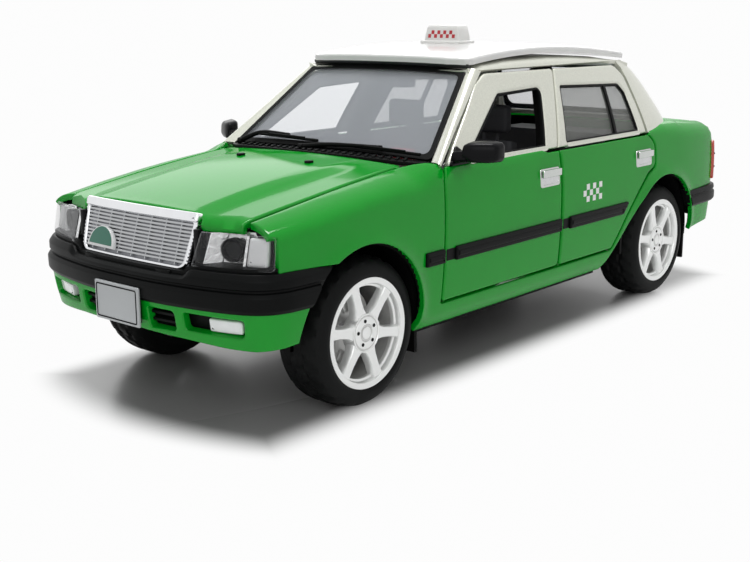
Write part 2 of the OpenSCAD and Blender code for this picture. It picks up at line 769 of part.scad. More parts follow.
module chassis() {
    color([0.06, 0.06, 0.07])
    difference() {
        union() {
            along_z(mirror_plan([[support_x + 3, 0], [support_x + 3, bay_hw], [arch_fx - arch_r - 2.4, bay_hw],
                [arch_fx - arch_r - 2.4, hw - 1.6], [arch_rx + 30, hw - 1.6], [arch_rx + 30, bay_hw],
                [tail_x + 2.4, bay_hw], [tail_x + 2.4, 0]]), floor_z, floor_top);
            both() {
                block([arch_rx + 30, hw - 3.6, floor_top - 0.1], [arch_fx - arch_r - 2.4, hw - 1.6, sill_z]);
                for (x = [axle_fx, axle_rx])
                    block([x - 3.6, bay_hw - 5, floor_top - 0.1], [x + 3.6, bay_hw, axle_z + 3.2]);
                for (x = [arch_fx, arch_rx]) {
                    difference() {
                        rod_y(x, arch_z, liner_r + liner_t, bay_hw - 1, hw - 2.8);
                        rod_y(x, arch_z, liner_r, bay_hw, hw);
                        block([x - 40, 0, arch_z - 40], [x + 40, 60, arch_z - 2]);
                        translate([x, 0, arch_z])
                            rotate([-90, 0, 0])
                                cylinder(r = 12, h = 30);
                    }
                    block([x - 15, bay_hw - 1, floor_top - 0.1], [x - 10, bay_hw, arch_z + 8]);
                    block([x + 10, bay_hw - 1, floor_top - 0.1], [x + 15, bay_hw, arch_z + 8]);
                }
            }
        }
        for (x = [axle_fx, axle_rx])
            rod_y(x, axle_z, axle_r + axle_clear, -60, 60);
        both()
            for (x = [screw_fx, screw_rx])
                translate([x, screw_y, floor_z - 1]) {
                    cylinder(r = 1.2, h = 10);
                    cylinder(r = 2.3, h = 1.9);
                }
    }
}

module chassis_screws() {
    color([0.6, 0.6, 0.62])
    both()
        for (x = [screw_fx, screw_rx])
            translate([x, screw_y, floor_z]) {
                difference() {
                    cylinder(r = 2.1, h = 0.9);
                    block([-1.5, -0.2, -1], [1.5, 0.2, 0.4]);
                    block([-0.2, -1.5, -1], [0.2, 1.5, 0.4]);
                }
                cylinder(r = 0.98, h = 9);
            }
}

// Interior

cabin_hw = hw - 7;
tub_fx = door_fx - 7;
tub_rx = rear_end_x + 3;
shelf_z = belt_z - 2;
tub_narrow_x = arch_rx + liner_r + liner_t + 1;

module interior_tub() {
    color([0.72, 0.72, 0.7]) {
        along_z(mirror_plan([[tub_fx, 0], [tub_fx, cabin_hw], [tub_narrow_x, cabin_hw], [tub_narrow_x, bay_hw - 2],
            [tub_rx, bay_hw - 2], [tub_rx, 0]]), floor_top, floor_top + 1.2);
        block([tub_rx - 1.2, -bay_hw + 2, floor_top], [tub_rx, bay_hw - 2, shelf_z]);
        block([deck_x + 1.6, -bay_hw + 2, shelf_z - 1.2], [tub_rx, bay_hw - 2, shelf_z]);
        block([tail_x + 9, -bay_hw + 2, axle_z + 5], [tub_rx, bay_hw - 2, axle_z + 6.2]);
        both()
            block([tub_narrow_x, cabin_hw - 1, floor_top], [tub_fx, cabin_hw, floor_top + 8]);
    }
}

// A seat cushion and back as one rounded side view.
function seat_side(x, l, zt) = [[x, floor_top + 1.2], [x + l, floor_top + 1.2], [x + l + 1, floor_top + 10],
    [x + l, floor_top + 12], [x + 4.6, floor_top + 11], [x + 1.4, zt], [x - 1.6, zt + 0.6], [x - 3.2, zt - 1],
    [x - 1, floor_top + 8]];

module front_seats() {
    color([0.76, 0.76, 0.74])
    both() {
        along_y(seat_side(b_x + 4, 17, belt_z + 0.5), 4, cabin_hw - 3);
        block([b_x + 2.4, 10, belt_z], [b_x + 4.2, 20, belt_z + 6]);
        block([b_x + 3, 13, belt_z - 1], [b_x + 3.8, 14, belt_z + 2]);
    }
}

module rear_seat() {
    color([0.76, 0.76, 0.74]) {
        along_y(seat_side(tub_rx + 3.4, 15, shelf_z), -bay_hw + 2, bay_hw - 2);
    }
}

dash_x = screen_x - 6;

module dashboard() {
    color([0.2, 0.2, 0.2])
    along_y([[tub_fx - 8, floor_top + 14], [tub_fx - 1, floor_top + 1.2], [tub_fx, floor_top + 1.2],
        [dash_x + 2, belt_z - 4], [dash_x + 1, belt_z - 1.6], [dash_x - 8, belt_z - 1.6],
        [dash_x - 11, belt_z - 5], [dash_x - 9, belt_z - 12]], -cabin_hw + 1.2, cabin_hw - 1.2);
}

wheel_y = 13.2 - cabin_hw;
meter_y = cabin_hw - 15.2;

module steering_wheel() {
    color([0.1, 0.1, 0.1])
    translate([dash_x - 15, wheel_y, belt_z - 3])
        rotate([0, -65, 0]) {
            rotate_extrude()
                translate([6, 0])
                    circle(0.6);
            cylinder(r = 1.8, h = 1.2, center = true);
            for (a = [0, 120, 240])
                rotate([0, 0, a])
                    block([1, -0.5, -0.4], [5.8, 0.5, 0.4]);
            translate([0, 0, -7])
                cylinder(r = 0.8, h = 7);
        }
}

module fare_meter() {
    color([0.8, 0.1, 0.1])
    block([dash_x - 3, meter_y, belt_z - 1.6], [dash_x - 1.6, meter_y + 6, belt_z + 2]);
}

module cabin_mirror() {
    color([0.08, 0.08, 0.09]) {
        block([screen_top_x - 3.4, -5, screen_top_z - 4.4], [screen_top_x - 2.4, 5, screen_top_z - 1.9]);
        block([screen_top_x - 3.2, -0.5, screen_top_z - 2.2], [screen_top_x - 2.4, 0.5, screen_top_z - 0.8]);
    }
}

module engine_insert() {
    color([0.3, 0.3, 0.32]) {
        block([arch_fx - 18, -bay_hw + 3, bumper_bot], [screw_fx - 3, bay_hw - 3, bumper_bot + 1.4]);
        block([screw_fx - 4, -8, bumper_bot], [support_x, 8, bumper_bot + 1.4]);
        block([arch_fx - 12, -7, bumper_bot + 1], [arch_fx + 12, 7, bumper_top + 2]);
        for (i = [-1.5 : 1 : 1.5])
            translate([arch_fx + i * 5, 0, bumper_top + 1.9])
                cylinder(r = 1.6, h = 1.2);
        block([arch_fx + 4.4, 9, bumper_bot + 1], [arch_fx + 12.4, 15, bumper_top]);
        translate([arch_fx - 6, -11, bumper_bot + 1])
            cylinder(r = 4, h = 8);
    }
}

// Bonnet and boot lid

module bonnet() {
    color([0.03, 0.36, 0.17]) {
        intersection() {
            skin(0, lid_t);
            bonnet_zone(0);
        }
        both() {
            intersection() {
                block([bonnet_hx - 1, bonnet_rear_hw - 4, bonnet_hz - 1], [bonnet_hx + 1, bonnet_rear_hw - 0.2, bonnet_hz + 1.4]);
                lower_body(0);
            }
            rod_y(bonnet_hx, bonnet_hz, pin_r, bonnet_rear_hw - 2, bonnet_rear_hw + lid_gap + 1.2);
        }
    }
}

module boot_lid() {
    color([0.03, 0.36, 0.17]) {
        intersection() {
            skin(0, lid_t);
            boot_zone(0);
        }
        both() {
            block([boot_hx - 1, boot_hw - 4, boot_hz - 1], [boot_hx + 1, boot_hw - 0.2, boot_hz + 0.4]);
            rod_y(boot_hx, boot_hz, pin_r, boot_hw - 2, boot_hw + lid_gap + 1.2);
        }
    }
}

module rear_number_plate() {
    color([0.8, 0.7, 0.1])
    intersection() {
        raised(0.7);
        block([rear_x - 10, -plate_w / 2, bumper_top + 1.6], [tail_x + 3, plate_w / 2, bumper_top + 8.6]);
    }
}

// Doors

// Hinge barrel and pins of a door at the hinge line x.
module door_hinge(x) {
    difference() {
        translate([x, hinge_y, door_z])
            cylinder(r = 0.9, h = 22);
        translate([x, hinge_y, lug_z - 0.3])
            cylinder(r = 1.3, h = lug_h + 0.6);
    }
    translate([x, hinge_y, sill_z + 1.4])
        cylinder(r = pin_r, h = 26);
}

// Pocket in a door around the hinge ear of the body.
module ear_pocket(x) {
    translate([x, hinge_y, lug_z - 0.3])
        cylinder(r = 1.3, h = lug_h + 0.6);
}

handle_z = belt_z - 6.2;
handle_y = hw - 0.6;
front_handle_x = b_x + 5.4;
rear_handle_x = rear_end_x + 3.2;

module handle_zone(x) {
    block([x - handle_w / 2, handle_y, handle_z - handle_h / 2], [x + handle_w / 2, 60, handle_z + handle_h / 2]);
}

module door_front() {
    difference() {
        intersection() {
            skin(0, wall);
            along_y(front_door_line, 12, 60);
        }
        along_y(front_window_line, 12, 60);
        block([b_x - 1, 0, door_z - 1], [door_fx + 1, hw - 4.4, belt_z]);
        handle_zone(front_handle_x);
        ear_pocket(hinge_fx);
        translate([hinge_rx, hinge_y, door_z - 1])
            cylinder(r = swing_r, h = belt_z - door_z + 1);
    }
    door_hinge(hinge_fx);
}

module door_rear() {
    difference() {
        intersection() {
            skin(0, wall);
            along_y(rear_door_line, 12, 60);
        }
        along_y(rear_window_line, 12, 60);
        handle_zone(rear_handle_x);
        ear_pocket(hinge_rx);
    }
    door_hinge(hinge_rx);
}

card_top = belt_z - 1.5;

module card_front() {
    intersection() {
        flank(wall + 0.05, wall + 0.05 + card_t);
        block([b_x + 4, 12, door_z + 2], [hinge_fx - 7, 60, card_top]);
    }
}

module card_rear() {
    intersection() {
        flank(wall + 0.05, wall + 0.05 + card_t);
        along_y([[axle_rx + 29, door_z + 2], [hinge_rx - 5, door_z + 2], [hinge_rx - 5, card_top],
            [rear_end_x + 2, card_top], [rear_end_x + 2, belt_z - 9], [axle_rx + 18, sill_z + 17.4]], 12, 60);
    }
}

module handle(x) {
    block([x - handle_w / 2, handle_y, handle_z - handle_h / 2], [x + handle_w / 2, handle_y + 0.8, handle_z + handle_h / 2]);
    block([x - handle_w / 2 + 0.4, handle_y + 0.7, handle_z + 0.4], [x + handle_w / 2 - 0.4, handle_y + 1.7, handle_z + 1.9]);
}

// A door strip thins out ahead of the hinge line, so that it clears the panel in front as the door swings.
module strip_front() {
    intersection() {
        raised(strip_t);
        strip_zone(b_x, hinge_fx - strip_lead);
    }
    intersection() {
        raised(strip_lip);
        strip_zone(b_x, hinge_fx + hinge_in / 2);
    }
}

module strip_rear() {
    intersection() {
        raised(strip_t);
        rear_strip_zone(hinge_rx - strip_lead);
    }
    intersection() {
        raised(strip_lip);
        rear_strip_zone(hinge_rx + hinge_in / 2);
    }
}

module rear_strip_zone(x) {
    along_y([[axle_rx + 24, strip_z], [x, strip_z], [x, strip_z + strip_h], [axle_rx + 21, strip_z + strip_h]], 20, 60);
}

module glass_rear() {
    intersection() {
        skin(0.3, 1.1);
        along_y(rear_window_line, 12, 60);
    }
}

mirror_x = pillar_x(belt_z + 2) - 4;
// Head of the mirror forward of its foot.
mirror_lead = 2;

module mirror_front() {
    intersection() {
        difference() {
            block([mirror_x - 4, 20, belt_z - 0.6], [mirror_x + 1.4, hw + 2, belt_z + 2.6]);
            hull_form(0);
        }
        along_y([[mirror_x - 4, belt_z - 0.6], [mirror_x + 1.4, belt_z - 0.6], [mirror_x - 0.6, belt_z + 2.6],
            [mirror_x - 4, belt_z + 2.6]], 20, 60);
    }
    hull()
        for (x = [mirror_x + mirror_lead - 4.4, mirror_x + mirror_lead - 0.6], z = [belt_z + 1.6, belt_z + 4], y = [hw + 2.2, hw + 6.4])
            translate([x, y, z])
                sphere(0.8, $fn = 16);
}

module door_fl() {
    color([0.03, 0.36, 0.17])
        door_front();
}

module card_fl() {
    color([0.72, 0.72, 0.7])
        card_front();
}

module handle_fl() {
    color([0.85, 0.86, 0.88])
        handle(front_handle_x);
}

module strip_fl() {
    color([0.05, 0.05, 0.06])
        strip_front();
}

module mirror_fl() {
    color([0.05, 0.05, 0.06])
        mirror_front();
}

module door_fr() {
    color([0.03, 0.36, 0.17])
        on_side(-1)
            door_front();
}

module card_fr() {
    color([0.72, 0.72, 0.7])
        on_side(-1)
            card_front();
}

module handle_fr() {
    color([0.85, 0.86, 0.88])
        on_side(-1)
            handle(front_handle_x);
}

module strip_fr() {
    color([0.05, 0.05, 0.06])
        on_side(-1)
            strip_front();
}

module mirror_fr() {
    color([0.05, 0.05, 0.06])
        on_side(-1)
            mirror_front();
}

module door_rl() {
    color([0.03, 0.36, 0.17])
        door_rear();
}

module card_rl() {
    color([0.72, 0.72, 0.7])
        card_rear();
}

module handle_rl() {
    color([0.85, 0.86, 0.88])
        handle(rear_handle_x);
}

module strip_rl() {
    color([0.05, 0.05, 0.06])
        strip_rear();
}

module glass_rl() {
    color([0.8, 0.85, 0.88, 0.4])
        glass_rear();
}

module door_rr() {
    color([0.03, 0.36, 0.17])
        on_side(-1)
            door_rear();
}

module card_rr() {
    color([0.72, 0.72, 0.7])
        on_side(-1)
            card_rear();
}

module handle_rr() {
    color([0.85, 0.86, 0.88])
        on_side(-1)
            handle(rear_handle_x);
}

module strip_rr() {
    color([0.05, 0.05, 0.06])
        on_side(-1)
            strip_rear();
}

module glass_rr() {
    color([0.8, 0.85, 0.88, 0.4])
        on_side(-1)
            glass_rear();
}

// Wheels

hub_r = 5.2;
hub_back = rim_face_y - 7;
disc_r = rim_seat_r - 2.6;

// A ring about the wheel axis from a profile of radius against y.
module turned(p) {
    rotate([-90, 0, 0])
        rotate_extrude()
            polygon(p);
}

module rim() {
    turned([[rim_seat_r - 1, tyre_in + 1.4], [rim_seat_r, tyre_in + 1.4], [rim_seat_r, rim_face_y - 0.5], [rim_r, rim_face_y - 0.4],
        [rim_r, rim_face_y], [rim_r - 1.6, rim_face_y], [rim_r - 2.2, rim_face_y - 1.4], [rim_seat_r - 1.2, rim_face_y - 3.4]]);
    difference() {
        turned([[0, hub_back], [hub_r, hub_back], [hub_r, rim_face_y - 1], [hub_r - 0.4, rim_face_y - 0.6], [0, rim_face_y - 0.6]]);
        rod_y(0, 0, axle_r, hub_back - 1, hub_back + 4);
        for (a = [0 : 72 : 288])
            rotate([0, a, 0])
                rod_y(0, 3.1, 0.65, rim_face_y - 1.6, rim_face_y);
    }
    for (a = [0 : 60 : 300])
        rotate([0, a, 0])
            along_y([[-1.5, hub_r - 0.8], [1.5, hub_r - 0.8], [1.9, rim_seat_r - 0.8], [-1.9, rim_seat_r - 0.8]],
                rim_face_y - 3, rim_face_y - 0.9);
}

module tyre() {
    turned([[rim_seat_r, tyre_in + 0.8], [rim_r + 0.6, tyre_in], [tyre_r - 1.6, tyre_in + 0.2], [tyre_r - 0.4, tyre_in + 1],
        [tyre_r, tyre_in + 2.2], [tyre_r, tyre_out - 2.2], [tyre_r - 0.4, tyre_out - 1], [tyre_r - 1.6, tyre_out - 0.2],
        [rim_r + 0.6, tyre_out], [rim_r + 0.05, tyre_out - 0.4], [rim_r + 0.05, rim_face_y - 0.5], [rim_seat_r, rim_face_y - 0.6]]);
}

module brake_disc() {
    difference() {
        rod_y(0, 0, disc_r, hub_back - 1.2, hub_back);
        rod_y(0, 0, axle_r, hub_back - 3, hub_back + 1);
    }
}

module pair_at(x) {
    translate([x, 0, axle_z])
        both()
            children();
}

module axle_at(x) {
    color([0.6, 0.6, 0.62])
        rod_y(x, axle_z, axle_r, -hub_back - 3.9, hub_back + 3.9);
}

module front_axle() {
    axle_at(axle_fx);
}

module rear_axle() {
    axle_at(axle_rx);
}

module front_rims() {
    color([0.78, 0.79, 0.8])
        pair_at(axle_fx)
            rim();
}

module rear_rims() {
    color([0.78, 0.79, 0.8])
        pair_at(axle_rx)
            rim();
}

module front_tyres() {
    color([0.05, 0.05, 0.05])
        pair_at(axle_fx)
            tyre();
}

module rear_tyres() {
    color([0.05, 0.05, 0.05])
        pair_at(axle_rx)
            tyre();
}

module front_brake_discs() {
    color([0.65, 0.66, 0.67])
        pair_at(axle_fx)
            brake_disc();
}

module rear_brake_discs() {
    color([0.65, 0.66, 0.67])
        pair_at(axle_rx)
            brake_disc();
}

body_shell();
roof_panel();
roof_sign();
windscreen();
rear_window();
front_bumper();
front_valance();
grille();
grille_badge();
front_number_plate();
headlamp_housings();
headlamp_lenses();
fog_lamps();
tail_lamps();
rear_bumper();
cowl_panel();
wipers();
body_strips();
mud_flaps();
chassis();
chassis_screws();
interior_tub();
front_seats();
rear_seat();
dashboard();
steering_wheel();
fare_meter();
cabin_mirror();
engine_insert();
bonnet();
boot_lid();
rear_number_plate();
door_fl();
card_fl();
handle_fl();
strip_fl();
mirror_fl();
door_fr();
card_fr();
handle_fr();
strip_fr();
mirror_fr();
door_rl();
card_rl();
handle_rl();
strip_rl();
glass_rl();
door_rr();
card_rr();
handle_rr();
strip_rr();
glass_rr();
front_axle();
front_rims();
front_tyres();
front_brake_discs();
rear_axle();
rear_rims();
rear_tyres();
rear_brake_discs();
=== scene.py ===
"""Toy saloon taxi: the looks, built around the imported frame.

Sizes are millimetres, with +X forward, +Y left and +Z up.
"""
import json
import math

import bmesh
import bpy
import numpy as np
from mathutils import Matrix, Vector
from mathutils.geometry import delaunay_2d_cdt

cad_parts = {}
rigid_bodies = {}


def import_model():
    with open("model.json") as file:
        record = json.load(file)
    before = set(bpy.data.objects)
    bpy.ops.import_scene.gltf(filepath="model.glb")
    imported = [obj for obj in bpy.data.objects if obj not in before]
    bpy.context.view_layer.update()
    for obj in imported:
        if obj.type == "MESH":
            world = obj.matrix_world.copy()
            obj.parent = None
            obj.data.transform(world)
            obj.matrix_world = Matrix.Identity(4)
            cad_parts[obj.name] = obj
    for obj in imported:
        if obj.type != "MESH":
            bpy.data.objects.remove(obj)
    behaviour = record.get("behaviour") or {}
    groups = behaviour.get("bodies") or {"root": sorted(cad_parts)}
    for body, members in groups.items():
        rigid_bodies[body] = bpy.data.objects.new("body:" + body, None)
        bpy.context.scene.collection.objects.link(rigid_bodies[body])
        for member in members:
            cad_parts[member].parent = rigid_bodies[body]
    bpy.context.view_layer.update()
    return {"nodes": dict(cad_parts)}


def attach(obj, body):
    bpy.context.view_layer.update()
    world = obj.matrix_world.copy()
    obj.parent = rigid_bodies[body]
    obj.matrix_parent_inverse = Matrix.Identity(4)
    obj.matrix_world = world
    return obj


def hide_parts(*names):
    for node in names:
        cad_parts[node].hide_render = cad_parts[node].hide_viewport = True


MM = 0.001
for old in list(bpy.data.objects):
    bpy.data.objects.remove(old, do_unlink=True)
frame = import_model()

# Sizes shared with the part's source
HW = 35.2
CABIN_HW = 33.55
NOSE_X, COWL_X = 89.2, 43.2
AXLE_FX, AXLE_RX, AXLE_Z = 63.2, -59.4, 15.4
ARCH_FX, ARCH_RX, ARCH_Z, ARCH_R = 65.0, -58.9, 16.4, 17.6
SILL_Z, DOOR_Z, BELT_Z = 14.2, 17.6, 45.8
BUMPER_BOT, BUMPER_TOP = 24.4, 31.9
LAMP_BOT, LAMP_TOP = 32.3, 38.6
HINGE_FX, HINGE_RX, HINGE_Y = 38.4, -7.5, 33.2
BONNET_HINGE, BOOT_HINGE = (45.4, 45.65), (-73.3, 46.3)
B_POST_X = -5.8
GAP = 0.5


# Materials
def fill(tree, target, values=(), **named):
    """Sets a node's inputs, in order or by name with _ for a space; another node's output is linked."""
    pairs = list(zip(target.inputs, values))
    pairs += [(target.inputs[key.replace("_", " ")], value) for key, value in named.items()]
    for socket, value in pairs:
        if isinstance(value, bpy.types.NodeSocket):
            tree.links.new(value, socket)
        else:
            socket.default_value = value
    return target


def add(tree, kind, mode=None, values=(), **named):
    """New shader node with its inputs filled; mode is one (property, value) of the node itself."""
    new = tree.nodes.new("ShaderNode" + kind)
    if mode:
        setattr(new, *mode)
    return fill(tree, new, values, **named)


M = {}


def finish(name, colour, rough, vary, metal=0.0, coat=0.0, spec=0.5, grain=None, bump=0.15, alpha=None):
    """Adds a procedural material to M.

    vary is (size in mm, share) of a drift in colour and roughness, grain the size in mm of a fine bump, and
    alpha how much a glass covers when it is seen square on and edge on.
    """
    m = M[name] = bpy.data.materials.new(name)
    m.use_nodes = True
    tree = m.node_tree
    bsdf = fill(tree, tree.nodes["Principled BSDF"], Base_Color=(*colour, 1), Roughness=rough, Metallic=metal,
                Coat_Weight=coat, Coat_Roughness=0.10, Specular_IOR_Level=spec)
    place = add(tree, "TexCoord").outputs["Object"]

    def noise(size, detail):
        return add(tree, "TexNoise", Vector=place, Scale=1 / (size * MM), Detail=detail).outputs["Fac"]

    size, share = vary
    drift = noise(size, 3.0)
    dark = [c * (1 - share) for c in colour]
    light = [min(1.0, c * (1 + share)) for c in colour]
    tint = add(tree, "Mix", ("data_type", "RGBA"), Factor=drift, A=(*dark, 1), B=(*light, 1))
    sheen = add(tree, "MapRange", Value=drift, To_Min=rough * 0.85, To_Max=min(1.0, rough * 1.15))
    fill(tree, bsdf, Base_Color=tint.outputs["Result"], Roughness=sheen.outputs["Result"])
    if grain:
        relief = add(tree, "Bump", Strength=bump, Distance=grain * MM * 0.4, Height=noise(grain, 2.0))
        fill(tree, bsdf, Normal=relief.outputs["Normal"])
    if alpha:
        edge_on = add(tree, "LayerWeight", Blend=0.35).outputs["Fresnel"]
        cover = add(tree, "MapRange", Value=edge_on, To_Min=alpha[0], To_Max=alpha[1])
        fill(tree, bsdf, Alpha=cover.outputs["Result"])


finish("paint_green", (0.001, 0.315, 0.017), 0.42, (9, 0.06), coat=0.55, spec=0.0, grain=2.4, bump=0.015)
finish("silver_paint", (0.67, 0.68, 0.595), 0.36, (0.35, 0.16), metal=0.35, coat=0.5, grain=0.4, bump=0.05)
finish("roof_white", (0.76, 0.76, 0.75), 0.30, (12, 0.02), coat=0.7, grain=1.5, bump=0.02)
finish("sign_white", (0.82, 0.82, 0.80), 0.35, (4, 0.03), coat=0.3)
finish("clear_glass", (0.80, 0.84, 0.90), 0.03, (30, 0.05), spec=0.2, alpha=(0.085, 0.42))
finish("tint_glass", (0.36, 0.37, 0.35), 0.04, (30, 0.05), spec=0.3, alpha=(0.16, 0.50))
finish("lens", (0.40, 0.41, 0.42), 0.04, (6, 0.05), alpha=(0.02, 0.40))
finish("black_trim", (0.004, 0.0045, 0.0045), 0.40, (6, 0.2), spec=0.07, grain=0.35, bump=0.12)
finish("gloss_black", (0.004, 0.004, 0.005), 0.28, (5, 0.15), spec=0.10)
finish("chassis_black", (0.005, 0.005, 0.005), 0.60, (5, 0.25), spec=0.06, grain=0.5, bump=0.2)
finish("bright_trim", (0.80, 0.81, 0.83), 0.12, (2, 0.05), metal=1.0)
finish("handle_chrome", (0.54, 0.56, 0.54), 0.16, (2, 0.06), metal=1.0)
finish("grille_chrome", (0.44, 0.45, 0.46), 0.16, (2, 0.06), metal=1.0)
finish("grille_back", (0.20, 0.205, 0.22), 0.30, (2, 0.15), metal=0.8)
finish("lamp_silver", (0.58, 0.585, 0.59), 0.20, (1.5, 0.08), metal=0.85, grain=1.2, bump=0.2)
finish("lamp_white", (0.86, 0.87, 0.88), 0.22, (2, 0.06), coat=0.6)
finish("lamp_red", (0.55, 0.035, 0.015), 0.16, (1.5, 0.18), coat=0.8)
finish("lamp_amber", (0.75, 0.23, 0.03), 0.16, (1.5, 0.15), coat=0.8)
finish("badge_green", (0.004, 0.14, 0.085), 0.3, (3, 0.06), coat=0.2)
finish("badge_white", (0.84, 0.85, 0.85), 0.3, (3, 0.04), coat=0.4)
finish("plate_silver", (0.47, 0.49, 0.50), 0.42, (5, 0.05), metal=0.1, grain=0.5, bump=0.05)
finish("plate_yellow", (0.72, 0.50, 0.05), 0.40, (5, 0.05))
finish("interior_grey", (0.034, 0.035, 0.038), 0.62, (3, 0.14), grain=0.45, bump=0.25)
finish("seat_grey", (0.040, 0.041, 0.046), 0.70, (1.2, 0.18), grain=0.5, bump=0.35)
finish("dash_dark", (0.014, 0.015, 0.017), 0.55, (3, 0.15), grain=0.4, bump=0.25)
finish("meter_red", (0.58, 0.03, 0.05), 0.35, (2, 0.08), coat=0.3)
finish("print_red", (0.50, 0.02, 0.03), 0.40, (2, 0.05))
finish("print_white", (0.84, 0.85, 0.84), 0.36, (3, 0.03), coat=0.5)
finish("engine_grey", (0.16, 0.165, 0.17), 0.45, (2, 0.2), metal=0.4, grain=0.5, bump=0.2)
finish("steel", (0.55, 0.55, 0.56), 0.28, (2, 0.1), metal=1.0)
finish("rim_silver", (0.86, 0.87, 0.86), 0.30, (6, 0.04), metal=0.55, coat=0.2)
finish("disc_grey", (0.62, 0.62, 0.61), 0.34, (1, 0.12), metal=0.6)
finish("tyre_black", (0.006, 0.0065, 0.0065), 0.58, (2.5, 0.22), spec=0.1, grain=0.3, bump=0.12)
finish("floor", (0.96, 0.96, 0.96), 0.28, (400, 0.01), spec=0.4)


# Objects and meshes
def put(name, data):
    """New object in the scene."""
    obj = bpy.data.objects.new(name, data)
    bpy.context.scene.collection.objects.link(obj)
    return obj


class Build:
    """Collects faces, with a material number each, and turns them into one object."""

    def __init__(self):
        self.v, self.f, self.m = [], [], []

    def add(self, verts, faces, mat=0):
        k = len(self.v)
        self.v += [tuple(map(float, p)) for p in verts]
        self.f += [tuple(i + k for i in f) for f in faces]
        self.m += mat if isinstance(mat, list) else [mat] * len(faces)
        return self

    def join(self, other):
        return self.add(other.v, other.f, other.m)

    def mirrored(self):
        out = Build()
        out.v = [(x, -y, z) for x, y, z in self.v]
        out.f = [tuple(reversed(f)) for f in self.f]
        out.m = list(self.m)
        return out

    def both(self):
        return self.join(self.mirrored())

    def piece(self, name, mats, body, slot, nodes=(), angle=40.0):
        mesh = bpy.data.meshes.new(name)
        mesh.from_pydata([(x * MM, y * MM, z * MM) for x, y, z in self.v], [], self.f)
        for n in [mats] if isinstance(mats, str) else mats:
            mesh.materials.append(M[n])
        mesh.polygons.foreach_set("material_index", self.m)
        bm = bmesh.new()
        bm.from_mesh(mesh)
        bmesh.ops.recalc_face_normals(bm, faces=bm.faces)
        bm.to_mesh(mesh)
        bm.free()
        mesh.polygons.foreach_set("use_smooth", [True] * len(mesh.polygons))
        mesh.set_sharp_from_angle(angle=math.radians(angle))
        obj = put(name, mesh)
        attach(obj, body)
        if nodes:
            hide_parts(*nodes)


def unit(a):
    return a / np.maximum(np.linalg.norm(a, axis=-1, keepdims=True), 1e-9)


def ease(t):
    """Smooth step from 0 to 1."""
    t = np.clip(t, 0, 1)
    return t * t * (3 - 2 * t)


def bend(a, middle, b, t):
    """Curve from a to b, drawn towards the middle point."""
    return (1 - t) ** 2 * a + 2 * t * (1 - t) * middle + t * t * b


def rounded(points, seg=6):
    """Closed outline whose points are (u, v) or (u, v, radius)."""
    out, n = [], len(points)
    for i, p in enumerate(points):
        a, b, c = (np.array(points[j % n][:2], float) for j in (i - 1, i, i + 1))
        r = p[2] if len(p) > 2 else 0
        if r <= 0:
            out.append(b)
            continue
        u, w = unit(a - b), unit(c - b)
        half = math.acos(float(np.clip(u @ w, -0.9999, 0.9999))) / 2
        t = min(r / math.tan(half), 0.48 * np.linalg.norm(a - b), 0.48 * np.linalg.norm(c - b))
        centre = b + unit(u + w) * t / math.cos(half)
        p0, p1 = b + u * t - centre, b + w * t - centre
        a0 = math.atan2(p0[1], p0[0])
        turn = (math.atan2(p1[1], p1[0]) - a0 + math.pi) % (2 * math.pi) - math.pi
        angles = a0 + turn * np.arange(seg + 1) / seg
        out += list(centre + t * math.tan(half) * np.stack([np.cos(angles), np.sin(angles)], 1))
    return np.array(out)


def rect(u0, v0, u1, v1, r=0.0, seg=6):
    return rounded([(u0, v0, r), (u1, v0, r), (u1, v1, r), (u0, v1, r)], seg)


def symmetric(half):
    """Closed outline from the points of one half, whose first number changes sign for the other half."""
    return half + [(-y, *rest) for y, *rest in reversed(half)]


def arc(cx, cz, r, a0, a1, n):
    """Points of an arc, angles in degrees."""
    a = np.radians(np.linspace(a0, a1, n))
    return [(cx + r * math.cos(t), cz + r * math.sin(t)) for t in a]


def densify(poly, step):
    out = []
    for a, b in zip(poly, np.roll(poly, -1, 0)):
        k = max(1, int(math.ceil(np.linalg.norm(b - a) / step)))
        out += [a + (b - a) * j / k for j in range(k)]
    return np.array(out)


def offset(poly, d):
    """Moves a loop to its left by d."""
    t0, t1 = unit(poly - np.roll(poly, 1, 0)), unit(np.roll(poly, -1, 0) - poly)
    n0, n1 = np.stack([-t0[:, 1], t0[:, 0]], 1), np.stack([-t1[:, 1], t1[:, 0]], 1)
    return poly + d * (n0 + n1) / np.maximum(1 + (n0 * n1).sum(1, keepdims=True), 0.4)


def area(poly):
    x, y = poly[:, 0], poly[:, 1]
    return 0.5 * np.sum(x * np.roll(y, -1) - np.roll(x, -1) * y)


def inside(pts, poly):
    x, y = pts[:, 0][:, None], pts[:, 1][:, None]
    a, b = poly, np.roll(poly, -1, 0)
    cross = (a[:, 1] > y) != (b[:, 1] > y)
    dy = np.where(np.abs(b[:, 1] - a[:, 1]) < 1e-12, 1e-12, b[:, 1] - a[:, 1])
    hit = cross & (x < (b[:, 0] - a[:, 0]) * (y - a[:, 1]) / dy + a[:, 0])
    return hit.sum(1) % 2 == 1


def numeric(f, sign, e=0.04):
    """Surface from a position function f(u, v): returns points and unit normals."""

    def surf(u, v):
        n = np.cross(f(u + e, v) - f(u - e, v), f(u, v + e) - f(u, v - e))
        return f(u, v), sign * unit(n)

    return surf


def moved(f, shift, sign=-1):
    """Surface of f, moved by a fixed step."""
    return numeric(lambda u, v: f(u, v) + np.array(shift), sign)


def lifted(surf, d):
    """Surface moved out along its own normals."""

    def out(u, v):
        p, n = surf(u, v)
        return p + n * d, n

    return out


